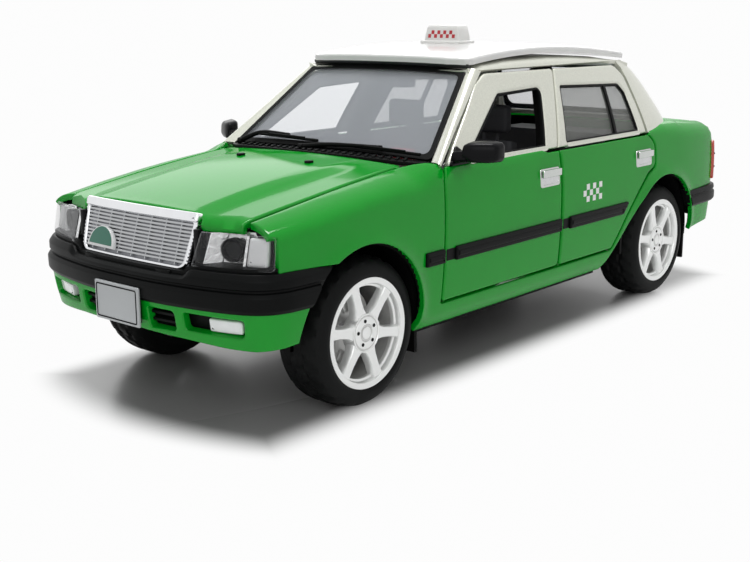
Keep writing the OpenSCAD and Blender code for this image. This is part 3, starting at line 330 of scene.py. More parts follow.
def panel(b, outline, surf, thick, r=0.35, step=2.4, holes=(), mat=0, turns=3, inner_mat=None):
    """Sheet with rounded edges, cut to an outline in the (u, v) of a surface."""
    loops = [densify(np.asarray(poly, float), step) for poly in (outline, *holes)]
    loops = [q if (area(q) > 0) == (k == 0) else q[::-1] for k, q in enumerate(loops)]
    # a narrow sheet gets a smaller rounding
    around = sum(np.linalg.norm(np.roll(q, -1, 0) - q, axis=1).sum() for q in loops)
    width = 2 * sum(area(q) for q in loops) / around
    r, shelf = min(r, 0.28 * width), min(0.3, 0.1 * width)
    pts, depth, faces, rims, inner = [], [], [], [], []
    for poly in loops:
        n, base = len(poly), len(pts)
        rims.append((base, n))
        for k in range(turns + 2):
            a = min(k, turns) / turns * math.pi / 2
            pts += list(offset(poly, r * (1 - math.cos(a)) + (shelf if k > turns else 0)))
            depth += [r * (1 - math.sin(a))] * n
        for k in range(turns + 1):
            q = base + k * n
            faces += [(q + i, q + (i + 1) % n, q + n + (i + 1) % n, q + n + i) for i in range(n)]
        inner.append(range(base + (turns + 1) * n, base + (turns + 2) * n))
    polys = [np.array([pts[i] for i in ids]) for ids in inner]

    def within(q):
        ok = inside(q, polys[0])
        for hole in polys[1:]:
            ok &= ~inside(q, hole)
        return ok

    # the middle is a grid of points, joined to the rims in triangles
    rim_pts = np.concatenate(polys)
    lo, hi = rim_pts.min(0), rim_pts.max(0)
    gu, gv = np.meshgrid(*(np.arange(lo[k] + step / 2, hi[k], step) for k in (0, 1)))
    gu = gu + (np.arange(gu.shape[0]) % 2)[:, None] * step / 2
    grid = np.stack([gu.ravel(), gv.ravel()], 1)
    grid = grid[within(grid)]
    if len(grid):
        near = np.min(np.linalg.norm(grid[:, None, :] - rim_pts[None], axis=2), axis=1)
        grid = grid[near > 0.55 * step]
    ids = [i for loop in inner for i in loop] + list(range(len(pts), len(pts) + len(grid)))
    pts += list(grid)
    edges, k = [], 0
    for loop in inner:
        n = len(loop)
        edges += [(k + i, k + (i + 1) % n) for i in range(n)]
        k += n
    flat = [Vector((float(pts[i][0]), float(pts[i][1]))) for i in ids]
    found, _, triangles, origins, _, _ = delaunay_2d_cdt(flat, edges, [], 0, 1e-6)
    index = []
    for i, origin in enumerate(origins):
        index.append(ids[origin[0]] if origin else len(pts))
        if not origin:
            pts.append(np.array(found[i]))
    depth += [0.0] * (len(pts) - len(depth))
    tri = np.array([[index[i] for i in f] for f in triangles])
    flat = np.array(pts)
    e1, e2 = flat[tri[:, 1]] - flat[tri[:, 0]], flat[tri[:, 2]] - flat[tri[:, 0]]
    ok = within(flat[tri].mean(1)) & (np.abs(e1[:, 0] * e2[:, 1] - e1[:, 1] * e2[:, 0]) > 1e-6)
    faces += [tuple(t) for t in tri[ok]]
    # front, back and the walls between them
    P, N = surf(flat[:, 0], flat[:, 1])
    n = len(flat)
    backs = [tuple(i + n for i in reversed(f)) for f in faces]
    walls = []
    for base, count in rims:
        for i in range(base, base + count):
            j = base + (i + 1 - base) % count
            walls.append((j, i, i + n, j + n))
    back_mat = mat if inner_mat is None else inner_mat
    mats = [mat] * len(faces) + [back_mat] * len(backs) + [mat] * len(walls)
    both_sides = np.concatenate([P - N * np.array(depth)[:, None], P - N * thick])
    return b.add(both_sides, faces + backs + walls, mats)


def sheet(b, rows, thick, flip=False):
    """Closed shell from a grid of points, its back moved inwards."""
    G = np.asarray(rows, float)
    m, n = G.shape[:2]
    N = unit(np.cross(np.gradient(G, axis=0), np.gradient(G, axis=1))) * (-1 if flip else 1)
    k = m * n
    F = []
    for i in range(m - 1):
        for j in range(n - 1):
            q = (i * n + j, i * n + j + 1, (i + 1) * n + j + 1, (i + 1) * n + j)
            F += [q, tuple(t + k for t in reversed(q))]
    rim = [(0, j) for j in range(n)] + [(i, n - 1) for i in range(1, m)]
    rim += [(m - 1, j) for j in range(n - 2, -1, -1)] + [(i, 0) for i in range(m - 2, 0, -1)]
    rim = [i * n + j for i, j in rim]
    F += [(c, a, a + k, c + k) for a, c in zip(rim, rim[1:] + rim[:1])]
    return b.add(np.concatenate([G.reshape(-1, 3), (G - N * thick).reshape(-1, 3)]), F)


def loft(b, rings):
    """Closed solid through rings of equal length."""
    R = np.asarray(rings, float)
    m, n = R.shape[:2]
    F = [(i + j, i + (j + 1) % n, i + n + (j + 1) % n, i + n + j)
         for i in range(0, (m - 1) * n, n) for j in range(n)]
    return b.add(R.reshape(-1, 3), F + [tuple(range(n)), tuple(range((m - 1) * n, m * n))])


def lathe(b, profile, x, z, mat=0, seg=72, wave=None):
    """Turns a closed profile of (radius, y) about the line along Y through x, z."""
    prof = np.asarray(profile, float)
    n = len(prof)
    points, F = [], []
    for k in range(seg):
        a = 2 * math.pi * k / seg
        r = wave(prof, k) if wave else prof[:, 0]
        points.append(np.stack([x + r * math.cos(a), prof[:, 1], z + r * math.sin(a)], 1))
        p, q = k * n, (k + 1) % seg * n
        F += [(p + j, p + (j + 1) % n, q + (j + 1) % n, q + j) for j in range(n)]
    return b.add(np.concatenate(points), F, mat)


def rbox(b, lo, hi, r=0.25, mat=0, turn=None, seg=2):
    """Box with rounded edges; turn is a 4x4 matrix in millimetres applied afterwards."""
    bm = bmesh.new()
    bmesh.ops.create_cube(bm, size=1)
    for v in bm.verts:
        v.co = Vector([lo[i] + (v.co[i] + 0.5) * (hi[i] - lo[i]) for i in range(3)])
    bmesh.ops.bevel(bm, geom=bm.edges[:], offset=r, segments=seg, profile=0.5, affect="EDGES")
    if turn is not None:
        bm.transform(turn)
    bm.verts.index_update()
    b.add([tuple(v.co) for v in bm.verts], [tuple(v.index for v in f.verts) for f in bm.faces], mat)
    bm.free()
    return b


def rbox_pair(b, lo, hi, r):
    """Rounded box on the left and its mirror image on the right."""
    return b.join(rbox(Build(), lo, hi, r).both())


def tube(b, path, radii, seg=10):
    """Round bar along a path of points."""
    P = np.asarray(path, float)
    T = unit(np.gradient(P, axis=0))
    up = np.array([0.0, 0.0, 1.0])
    A = unit(np.cross(T, np.where(np.abs(T @ up)[:, None] > 0.95, np.array([[1.0, 0, 0]]), up)))
    ang = np.arange(seg)[:, None] * 2 * math.pi / seg
    frames = zip(P, np.broadcast_to(np.asarray(radii, float), len(P)), A, np.cross(T, A))
    return loft(b, [p + r * (np.cos(ang) * a + np.sin(ang) * c) for p, r, a, c in frames])


def lengths(line):
    """Length along a line of points, at each of them."""
    return np.concatenate([[0], np.cumsum(np.linalg.norm(np.diff(line, axis=0), axis=1))])


def smooth_curve(points, n):
    """Points along a Catmull-Rom curve through the given points, at even steps."""
    p = np.asarray(points, float)
    q = np.vstack([2 * p[0] - p[1], p, 2 * p[-1] - p[-2]])
    t = np.linspace(0, 1, 40, endpoint=False)[:, None]
    out = []
    for a, b, c, d in zip(q, q[1:], q[2:], q[3:]):
        cubic = (3 * b - a - 3 * c + d) * t ** 3
        out.append(0.5 * (2 * b + (c - a) * t + (2 * a - 5 * b + 4 * c - d) * t ** 2 + cubic))
    line = np.vstack([*out, p[-1:]])
    s = lengths(line)
    return np.stack([np.interp(np.linspace(0, s[-1], n), s, column) for column in line.T], 1)


class Plan:
    """Smooth line seen from above, from one side of the car round its end to the other.

    A place on it is given by the length s from the middle.
    """

    def __init__(self, half):
        self.p = smooth_curve([(x, -y) for x, y in reversed(half) if y > 0] + half, 800)
        s = lengths(self.p)
        self.s = s - s[-1] / 2
        self.ahead = 1.0 if half[0][0] > 0 else -1.0

    def at(self, s):
        """Points and outward normals."""
        p, before, after = (np.stack([np.interp(s + d, self.s, self.p[:, k]) for k in (0, 1)], -1)
                            for d in (0, -0.2, 0.2))
        t = after - before
        return p, unit(np.stack([t[..., 1], -t[..., 0]], -1)) * self.ahead

    def s_at_y(self, y):
        left = self.s >= 0
        return float(np.interp(y, self.p[left, 1], self.s[left]))

    def s_at_x(self, x):
        left = self.s >= 0
        return float(np.interp(-x * self.ahead, -self.p[left, 0] * self.ahead, self.s[left]))


# Surfaces of the body
FLANK = np.polyfit([14.2, 19.2, 25.2, 31.2, 37.8, 42.3, 45.8], [34.0, 34.7, 35.1, 35.2, 35.0, 34.6, 33.9], 4)
REAR_U = -82.0
REAR_PLAN = Plan([(-96.1, 0), (-96.0, 14), (-95.6, 25), (-94.4, 30.4), (-91.6, 33.2), (-87, 34.1),
                  (REAR_U, 34.59), (-76, 34.9)])
REAR_S = REAR_PLAN.s_at_x(REAR_U)
LIP_R = 1.5


def flank_y(z):
    return np.polyval(FLANK, np.clip(z, 13.0, 46.5)) - 0.1 * np.clip(15.5 - z, 0, 4) ** 2


def taper(x):
    return -np.where(x > 67, ((x - 67) / 16) ** 2, 0) - np.where(x < -66, 1.5 * ((-66 - x) / 25) ** 2, 0)


def along_bonnet(x, most=1.06):
    """0 at the cowl, 1 at the nose."""
    return np.clip((x - COWL_X) / (NOSE_X - COWL_X), 0, most)


def bonnet_z(x):
    """Height of the bonnet along its middle."""
    return 42.0 + 5.25 * (1 - along_bonnet(x) ** 1.8)


def seam_z(x):
    """Height of the shut line along the side of the bonnet."""
    return 40.5 + 5.85 * (1 - along_bonnet(x) ** 1.2)


def seam_y(x):
    return 26.4 + 0.4 * np.sin(along_bonnet(x, 1) * math.pi)


def behind_bonnet(x):
    """0 along the doors, 1 along the bonnet."""
    return ease((x - 40.4) / 8.0)


def plan_at(u):
    """Side line of the body: u is x ahead of the rear corner, then the length round the back."""
    u = np.asarray(u, float)
    e = 0.05
    n = unit(np.stack([-(taper(u + e) - taper(u - e)) / (2 * e), np.ones_like(u)], -1))
    p = np.stack([u, HW + taper(u)], -1)
    rear_p, rear_n = REAR_PLAN.at(REAR_S - (REAR_U - u))
    behind = (u < REAR_U)[:, None]
    return np.where(behind, rear_p, p), np.where(behind, rear_n, n)


def shoulder(u):
    """Top height, inward depth of the seam and drop of the rounded shoulder at u."""
    front, k = u > 0, behind_bonnet(u)
    rear_top = np.interp(u, [-110, -96, -84, -70, -60, -49], [44.8, 45.4, 46.4, 47.6, 47.5, 45.9])
    rear_depth = np.interp(u, [-110, -96, -86, -72, -69, -60, -49], [5, 5.4, 6.6, 6.9, 6.3, 4.0, 1.5])
    rear_drop = np.interp(u, [-110, -96, -70, -60, -49], [3.4, 4, 4.2, 2.8, 0.9])
    door_depth = HW - 28.1 - (NOSE_X - u) / 46 * 2.2
    fender_depth = HW + taper(u) - seam_y(u)
    fender_drop = np.interp(u, [44, 52, 62], [4.8, 4.0, 3.2])
    top = np.where(front, 47.15 + (seam_z(u) - 47.15) * k, rear_top)
    depth = np.where(front, door_depth + (fender_depth - door_depth) * k, rear_depth)
    drop = np.where(front, 4.2 + (fender_drop - 4.2) * k, rear_drop)
    return top, depth, drop


def shoulder_w(u):
    """Length of the parameter that runs over the shoulder: longer where the fender's top is wide."""
    return 5.0 + 5.0 * np.where(u > 0, behind_bonnet(u), 0)


def flare(x, z):
    """Swelling of the flank round the wheel arches."""
    out = 0.0
    for arch_x in (ARCH_FX, ARCH_RX):
        d = np.hypot(x - arch_x, z - ARCH_Z) - ARCH_R
        out = out + 0.75 * np.clip(1 - np.abs(d) / 3.4, 0, 1) ** 2 * np.clip((z - 12) / 6, 0, 1)
    return out


def body_side_f(u, w):
    """Flank and shoulder: w is z up to the shoulder, then runs over it."""
    p, n = plan_at(u)
    top, depth, drop = shoulder(u)
    zs = top - drop
    t = np.clip((w - zs) / shoulder_w(u), 0, 1.2)
    es = HW - flank_y(zs)
    over = bend(es, es + 0.12 * (depth - es), depth, t)
    e = np.where(t > 0, over, HW - flank_y(np.minimum(w, zs)))
    z = np.where(t > 0, bend(zs, top - 0.12 * drop, top, t), w)
    e = e - flare(p[:, 0], z)
    return np.stack([p[:, 0] - n[:, 0] * e, p[:, 1] - n[:, 1] * e, z], -1)


body_side = numeric(body_side_f, -1)


def on_side(d):
    """Flank moved out sideways by d."""
    return moved(body_side_f, (0, d, 0))


def lip_x(y):
    """x at which the bonnet starts to bend down towards the lamps."""
    return 90.3 - 0.30 * np.clip(np.abs(y) - 17.5, 0, None)


def hood_f(u, y):
    """Bonnet: u is x up to the lip, then the length round the lip."""
    over = np.clip(u - lip_x(y), 0, None)
    turn = np.minimum(over / LIP_R, math.pi / 2)
    x = np.minimum(u, lip_x(y))
    # part of the rise to the middle is a crease, and the rest is an even curve
    crease = 0.55 * np.clip((x - 45) / 12, 0, 1)
    crease_y = 18.2 - 1.8 * np.clip((x - 50) / 30, 0, 1)
    share = crease * ease((crease_y - np.abs(y)) / 3.0 + 0.5) + (1 - crease) * (1 - (y / seam_y(x)) ** 2)
    z = seam_z(x) + (bonnet_z(x) - seam_z(x)) * share
    z = z - LIP_R * (1 - np.cos(turn)) - np.clip(over - LIP_R * math.pi / 2, 0, None)
    return np.stack([x + LIP_R * np.sin(turn), y, z], -1)


def house_y(x, z):
    """Side of the cabin."""
    t = np.clip((z - 46.0) / 17.6, -0.1, 1.1)
    return CABIN_HW - 6.9 * np.sign(t) * np.abs(t) ** 1.14 - 0.9 * t * ((x + 12) / 30) ** 2


def house_f(x, z):
    return np.stack([x, house_y(x, z), z], -1)


def on_house(d):
    """Side of the cabin moved out sideways by d."""
    return moved(house_f, (0, d, 0))


ROOF_X = [-58, -54.4, -49.4, -38.4, -26, -14, 3, 13, 17, 20]
ROOF_Z = [62.4, 63.7, 64.7, 65.9, 66.6, 66.9, 66.7, 66.0, 65.1, 64.0]
PLATE_FIT = np.polyfit([-55, -38.4, -26, -14, 5, 20], [66.8, 68.7, 69.4, 69.7, 69.2, 67.5], 3)
PLATE_HW = 24.8


def plate_f(x, y):
    """Top of the roof plate."""
    across = np.abs(y) / PLATE_HW
    z = np.polyval(PLATE_FIT, x) - 0.5 * across ** 2 - 0.4 * np.clip(across, 0, 1) ** 8
    return np.stack([x, y, z], -1)


# windscreen: v runs up the glass from its lower edge
SCREEN_LO, SCREEN_HI = np.array([38.8, 46.7]), np.array([17.0, 64.9])
SCREEN_L = float(np.linalg.norm(SCREEN_HI - SCREEN_LO))


def screen_hw(v):
    return 30.4 - 6.8 * v / SCREEN_L


def screen_f(y, v):
    bow = 0.9 * (1 - (y / screen_hw(v)) ** 2)
    x, z = (SCREEN_LO[k] + (SCREEN_HI[k] - SCREEN_LO[k]) * v / SCREEN_L for k in (0, 1))
    return np.stack([x + bow * 0.66, y, z + bow * 0.75], -1)


# rear window: z is its own parameter, and the profile bows out
BACK_FIT = np.polyfit([47.0, 47.9, 51.6, 56.7, 60.9, 64.3, 65.5],
                      [-71.2, -70.7, -68.6, -64.2, -60.2, -54.6, -52.0], 4)


def back_x(z):
    return np.polyval(BACK_FIT, z)


def back_hw(z):
    return 29.2 - 4.6 * (z - 48) / 16


def back_f(y, z):
    return np.stack([back_x(z) + 1.6 * (np.abs(y) / 28.0) ** 2.4, y, z], -1)


screen, back = numeric(screen_f, 1), numeric(back_f, -1)

# Body: one side frame each side, the rear panel and the inner posts
FENDER_LOW = BUMPER_TOP - 0.25
QUARTER_LOW = 16.6
SILL_LOW = SILL_Z - 1.9
LID_HW, LID_FACE_HW, LID_FACE_Z = 27.2, 19.4, 42.9


def arch_angle(z):
    return math.degrees(math.asin((z - ARCH_Z) / ARCH_R))


def side_seam(x, gap):
    """Point of the side frame's edge along the bonnet or the boot lid."""
    u = np.array([float(x)])
    top, _, drop = shoulder(u)
    return (float(x), float((top - drop + shoulder_w(u))[0] - gap))


def rear_u(y):
    """u of the body's side line where it comes round to y."""
    return REAR_U - (REAR_S - REAR_PLAN.s_at_y(y))


def post_f(x, z):
    """Inner posts, behind the flank and above it behind the side of the cabin."""
    lean = np.where(z > BELT_Z, CABIN_HW - house_y(x, np.maximum(z, 46)), 0)
    return np.stack([x, flank_y(np.minimum(z, BELT_Z)) - 3.1 - lean, z], -1)


sill_top = DOOR_Z - GAP - 0.1
side_line = arc(ARCH_FX, ARCH_Z, ARCH_R, 180 - arch_angle(SILL_LOW), arch_angle(FENDER_LOW), 28)
side_line += [(87.4, FENDER_LOW), (87.4, 39.0), (NOSE_X - 0.2, 39.4)]
side_line += [side_seam(x, 0.3) for x in np.linspace(NOSE_X - 0.1, 42.6, 26)]
side_line += [(40.2, 47.0), (38.6, 46.2), (39.9, 43.0), (40.2, 38.0), (40.7, DOOR_Z - 0.3)]
side_line += [(40.0, sill_top), (-31.0, sill_top), (-32.4, DOOR_Z + 0.1), (-38.8, 25.2), (-44.6, 30.9)]
side_line += [(-49.3, 34.9), (-52.6, 36.2), (-53.3, 37.4), (-53.3, 42.2), (-52.6, 43.6), (-50.2, 45.7)]
side_line += [side_seam(x, 0.0) for x in np.linspace(-51, -70, 10)]
side_line += [side_seam(x, 0.25) for x in np.linspace(-72, rear_u(LID_HW), 14)]
side_line += [(rear_u(LID_HW), LID_FACE_Z), (rear_u(LID_FACE_HW), LID_FACE_Z), (rear_u(LID_FACE_HW), 17.4)]
side_line += [(rear_u(31), QUARTER_LOW + 0.3), (-84, QUARTER_LOW),
              (ARCH_RX - ARCH_R + 0.1, QUARTER_LOW - 0.6)]
side_line += arc(ARCH_RX, ARCH_Z, ARCH_R, 178, 52, 24)
side_line += [(-44.0, 27.2), (-30.2, SILL_Z), (-28.6, SILL_LOW)]
b = panel(Build(), np.array(side_line), body_side, 1.3, r=0.32, step=1.5, inner_mat=1)
rbox(b, (41.4, 30.4, 14.4), (43.0, 33.4, 44.4), 0.2)
rbox(b, (-31.0, 31.0, 14.3), (46.0, 33.4, 16.7), 0.3)
b.both()
u0 = rear_u(19.0)
panel(b, rect(u0, 17.4, 2 * rear_u(0.0) - u0, 31.3), body_side, 1.3, r=0.32)
b.piece("body_sides", ["paint_green", "chassis_black"], "car", "paint_green", ["body_shell"])

post = numeric(post_f, -1)
b = panel(Build(), rect(33.6, 14.6, 38.6, 44.4), post, 1.5, r=0.2, step=4)
b_post = [(-10.6, 14.6), (-2.6, 14.6), (-2.6, BELT_Z), (-9.9, 64.4), (-18.0, 64.4), (-10.6, BELT_Z)]
panel(b, b_post, post, 1.5, r=0.2, step=3)
b.both().piece("inner_posts", "chassis_black", "car", "black_trim")

# Pillars and roof
a_pillar = []
for t in np.linspace(0, 1, 26):
    edge = screen_f(screen_hw(SCREEN_L * t) - 0.2, SCREEN_L * t)
    x, z = 39.6 - 24.6 * t ** 1.02, 46.2 + 18.1 * t
    outer = house_f(x, z)
    nose = np.array([0.35 * edge[0] + 0.65 * x + 1.3, outer[1] - 0.1, 0.5 * (edge[2] + z) + 0.7])
    a_pillar.append(bend(edge, nose, outer, np.linspace(0, 1, 9)[:, None]))
c_pillar = []
for t in np.linspace(0, 1, 22):
    row = []
    for c in np.linspace(0, 1, 16):
        z = (BELT_Z + 0.1 + 2.4 * c) * (1 - t) + (64.3 + 0.1 * c) * t
        xf = np.interp(z, [45.7, 52.7, 60, 62.5, 64.5], [-50.3, -49.8, -49.0, -48.3, -46.4])
        xr = back_x(z) + 1.2
        yf = house_y(xf, z)
        row.append([bend(xf, xr + 0.22 * (xf - xr), xr, c), bend(yf, yf - 0.5, back_hw(z) - 2.2, c), z])
    c_pillar.append(row)
# roof shell from rail to rail, carried on the pillars
roof_shell = []
for x in np.linspace(18.4, -53.4, 40):
    top = float(np.interp(x, ROOF_X, ROOF_Z))
    rail = house_f(x, min(64.6, top - 0.3) if x < 15.5 else top - 0.2)
    if x > 14.4:
        k = (x - 14.4) / 4.0
        rail = (1 - k) * rail + k * np.array([17.6, 23.8, 64.9])
    end = np.array([x, max(rail[1] - 4.2, 18), top - 0.1])
    side = bend(rail, np.array([x, rail[1] - 0.5, top - 0.35]), end, np.linspace(0, 1, 8)[:, None])
    middle = [[x, y, top - 0.1 + 0.15 * (1 - (y / end[1]) ** 2)] for y in np.linspace(end[1], 0, 6)[1:]]
    half = np.vstack([side, middle])
    roof_shell.append(np.vstack([half, (half * [1, -1, 1])[::-1][1:]]))
b = sheet(Build(), a_pillar, 1.3, flip=True)
sheet(b, c_pillar, 1.2, flip=True)
sheet(b.both(), roof_shell, 0.9)
b.piece("pillars_and_rails", "silver_paint", "car", "roof_white")

plate_half = [(19.6, 0), (19.0, 18.8, 4), (17.2, 24.2, 2.4), (-52.4, 24.6, 3), (-54.6, 21, 3), (-54.9, 0)]
plate_line = plate_half + [(x, -y, r) for x, y, r in reversed(plate_half[1:-1])]
b = panel(Build(), rounded(plate_line), numeric(plate_f, 1), 1.5, r=0.6, step=2.6)
for x in (-12.0, -16.0):
    rbox_pair(b, (x - 1, 6, 66.4), (x + 1, 16, 68.2), 0.1)
b.piece("roof_plate", "roof_white", "car", "roof_white", ["roof_panel"])

# dark strip under the front edge of the roof plate, painted shade that stands in for the plate's shaded front
# face, and how far back and down its points lie
SHADE_STRIP_STEPS = ((1.6, 2.5), (0.7, 2.2), (0.3, 1.7), (0.3, 1.3))
seal = []
for y in np.linspace(-23.6, 23.6, 49):
    x = 19.15 - 1.5 * (y / 24) ** 4 - 0.4 * (y / 24) ** 2
    z = plate_f(x, y)[2]
    seal.append([(x - behind, y, z - down) for behind, down in SHADE_STRIP_STEPS])
sheet(Build(), seal, 0.5).piece("roof_front_painted_shade", "dash_dark", "car", "black_trim")


# Glass and its surrounds
def screen_poly(d, low=0.0, high=0.0):
    """Windscreen's outline, drawn in by d and by more at its lower and upper edge."""
    v0, v1 = low + d, SCREEN_L - high - d
    w0, w1 = screen_hw(v0) - d, screen_hw(v1) - d
    return rounded([(-w0, v0, 1.2), (w0, v0, 1.2), (w1, v1, 2.0), (-w1, v1, 2.0)])


def back_poly(d):
    """Rear window's outline, drawn in by d."""
    z0, z1 = 48.3 + d, 63.3 - d
    w0, w1 = back_hw(z0) - 4 - d, back_hw(z1) - 4 - d
    return rounded([(-w0, z0, 1.5), (w0, z0, 1.5), (w1, z1, 2), (-w1, z1, 2)])


b = panel(Build(), screen_poly(0.6), screen, 0.8, r=0.1, step=3.2)
b.piece("windscreen_glass", "clear_glass", "car", "clear_glass", ["windscreen"])
b = panel(Build(), back_poly(0.2), back, 0.8, r=0.1, step=3.0)
b.piece("rear_window_glass", "clear_glass", "car", "clear_glass", ["rear_window"])
b = Build()
for surf, outline, hole in ((screen, screen_poly(0.35), screen_poly(1.7, 0.2, 0.4)),
                            (back, back_poly(0), back_poly(1.4))):
    panel(b, outline, lifted(surf, 0.12), 0.5, r=0.1, step=2.6, holes=[hole])
b.piece("glass_surrounds", "black_trim", "car", "black_trim")
# silver frame round the rear window, between the C-pillars
low_w, high_w = back_hw(46.9) - 2.0, back_hw(64.4) - 2.0
frame_line = [(-low_w, 46.9), (low_w, 46.9), (high_w, 64.4), (-high_w, 64.4)]
b = panel(Build(), rounded(frame_line), back, 1.0, r=0.2, step=2.6, holes=[back_poly(-0.1)])
b.piece("rear_window_frame", "silver_paint", "car", "roof_white")

# Doors
BODY = {"fl": "door_front_left", "fr": "door_front_right", "rl": "door_rear_left", "rr": "door_rear_right"}
FRONT_EDGE, REAR_EDGE = B_POST_X + 0.3, B_POST_X - GAP
SKIN_TOP, FRAME_LOW, WINDOW_LOW = 45.7, 45.9, 46.5
front_skin = [(FRONT_EDGE, DOOR_Z, 1.0), (40.2, DOOR_Z, 0.8), (39.7, 38.0, 3), (39.4, 43.0, 2),
              (38.0, SKIN_TOP, 0.5), (FRONT_EDGE, SKIN_TOP, 0.4)]
rear_skin = [(-31.4, DOOR_Z, 1.0), (REAR_EDGE, DOOR_Z, 1.0), (REAR_EDGE, SKIN_TOP, 0.4),
             (-49.6, SKIN_TOP, 0.4), (-52.1, 43.3, 0.8), (-52.7, 42.2, 0.8), (-52.7, 37.7, 0.8),
             (-51.8, 36.6, 0.6), (-48.9, 35.5, 2), (-44.2, 31.4, 3), (-38.2, 25.5, 3)]
front_frame = [(FRONT_EDGE, FRAME_LOW), (37.8, FRAME_LOW, 0.6), (33.2, 49.9, 6), (24.9, 56.4, 6),
               (18.6, 61.8, 5), (13.8, 64.0, 4), (-13.6, 64.0, 0.8)]
rear_frame = [(-49.5, FRAME_LOW), (REAR_EDGE + 0.2, FRAME_LOW), (-14.1, 64.0, 0.8), (-44.6, 63.6, 3.5),
              (-47.9, 60.9, 2.5), (-49.1, 52.7, 8)]
front_window = [(-0.9, WINDOW_LOW, 0.8), (30.6, WINDOW_LOW, 0.6), (11.6, 59.4, 2.2), (-6.1, 60.0, 1.4)]
rear_window = [(-46.0, WINDOW_LOW, 0.8), (-9.9, WINDOW_LOW, 0.8), (-14.3, 59.9, 1.2), (-43.4, 58.9, 2.0),
               (-45.4, 56.6, 2.0)]


def on_doors(build, name, mats, slot, tag, node=None):
    """Piece of the front (f) or rear (r) doors, left and right; {} in the names stands for the door."""
    for side, one in (("l", build), ("r", build.mirrored())):
        at = tag + side
        one.piece(name.format(at), mats, BODY[at], slot, [node.format(at)] if node else [])


def door(tag, skin, upper, window, hinge_x, bar=None):
    """Skin with its hinge pins, window frame, and a dark seal; bar divides the rear window."""
    lower = panel(Build(), rounded(skin), body_side, 1.3, r=0.4, step=2.2, inner_mat=1)
    for z0, z1, r in ((DOOR_Z - 1.6, 31.6, 0.45), (DOOR_Z, 31.5, 0.9), (34.4, 39.0, 0.9)):
        tube(lower, [(hinge_x, HINGE_Y, z0), (hinge_x, HINGE_Y, z1)], r)
    on_doors(lower, "door_{}_skin", ["paint_green", "chassis_black"], "paint_green", tag, "door_{}")
    opening = rounded(window)
    # the frames' inner faces are white rather than the silver of the real frames: a painted reflection of the
    # bright surroundings
    b = panel(Build(), rounded(upper, 8), on_house(0), 1.2, r=0.55, step=2.0, holes=[opening], inner_mat=1)
    on_doors(b, "door_{}_frame", ["silver_paint", "sign_white"], "roof_white", tag)
    lip = on_house(-0.35)
    x0, x1 = window[0][0] - 0.4, window[1][0] + 0.4
    sill = [(x0, FRAME_LOW), (x1, FRAME_LOW), (x1 - 0.4, WINDOW_LOW + 0.4), (x0 + 0.2, WINDOW_LOW + 0.4)]
    b = panel(Build(), sill, lip, 0.9, r=0.2)
    edge = densify(opening, 1.5)
    panel(b, offset(edge, -0.15), lip, 0.8, r=0.15, step=2.0, holes=[offset(edge, 0.55)])
    if bar:
        panel(b, bar, lip, 0.9, r=0.15, step=2)
    on_doors(b, "door_{}_seal", "black_trim", "black_trim", tag)


door("f", front_skin, front_frame, front_window, HINGE_FX)
window_bar = [(-36.6, 59.3), (-35.4, 59.35), (-33.8, 46.4), (-35.0, 46.4)]
door("r", rear_skin, rear_frame, rear_window, HINGE_RX, window_bar)
pane = offset(densify(rounded(rear_window), 2), -0.3)
b = panel(Build(), pane, on_house(-0.8), 0.6, r=0.05, step=4)
on_doors(b, "window_{}", "tint_glass", "clear_glass", "r", "glass_{}")

# Bonnet and boot lid
lip_end = LIP_R * math.pi / 2 + 0.95
over_lamp = [(float(lip_x(y)) + lip_end, y) for y in (17.6, 19, 22, 24, 26.2)]
over_grille = [(float(lip_x(y)) + 0.7, y) for y in (-17.2, -9, 0, 9, 17.2)]
along_seam = [(x, float(seam_y(x)) - 0.25) for x in np.linspace(86, 50, 7)]
bonnet_line = [(x, -y) for x, y in reversed(over_lamp)] + over_grille + over_lamp + along_seam
bonnet_line += [(COWL_X + 2.1 - 1.4 * (y / 30) ** 2, y) for y in np.linspace(26.1, -26.1, 15)]
bonnet_line += [(x, -y) for x, y in reversed(along_seam)]
b = panel(Build(), np.array(bonnet_line), numeric(hood_f, 1), 1.4, r=0.45, step=2.0)
hinge_x, hinge_z = BONNET_HINGE
pins = tube(Build(), [(hinge_x, 23.0, hinge_z), (hinge_x, 28.0, hinge_z)], 0.4)
rbox(pins, (hinge_x - 0.8, 22.6, hinge_z - 1.0), (hinge_x + 0.8, 25.8, hinge_z + 0.05), 0.2)
b.join(pins.both()).piece("bonnet_skin", "paint_green", "bonnet", "paint_green", ["bonnet"])

lid_profile = smooth_curve([(-71.9, 47.65), (-78, 47.25), (-86, 46.55), (-91.2, 45.7), (-93.9, 44.5),
                            (-95.3, 42.0), (-95.9, 38), (-96.0, 34.6), (-95.9, 31.7)], 200)
lid_s = lengths(lid_profile)


def lid_f(y, s):
    """Boot lid: s is the length from its front edge over the top and down the back."""
    x, z = (np.interp(s, lid_s, lid_profile[:, k]) for k in (0, 1))
    k = np.clip((47.0 - z) / 4.0, 0, 1)
    return np.stack([x + k * 1.1 * (np.abs(y) / 26) ** 2.6, y, z - (1 - k) * 0.5 * (y / 27) ** 2], -1)


face_s = float(np.interp(-LID_FACE_Z, -lid_profile[:, 1], lid_s))
lid_half = [(LID_HW, 0.4, 0.6), (LID_HW, face_s, 0.4), (19.0, face_s, 0.6), (18.8, lid_s[-1], 0.8)]
b = panel(Build(), rounded(symmetric(lid_half)), numeric(lid_f, 1), 1.4, r=0.4, step=1.8)
hinge_x, hinge_z = BOOT_HINGE
b.join(tube(Build(), [(hinge_x, 24, hinge_z), (hinge_x, 28.6, hinge_z)], 0.45).both())
b.piece("boot_lid_skin", "paint_green", "boot", "paint_green", ["boot_lid"])

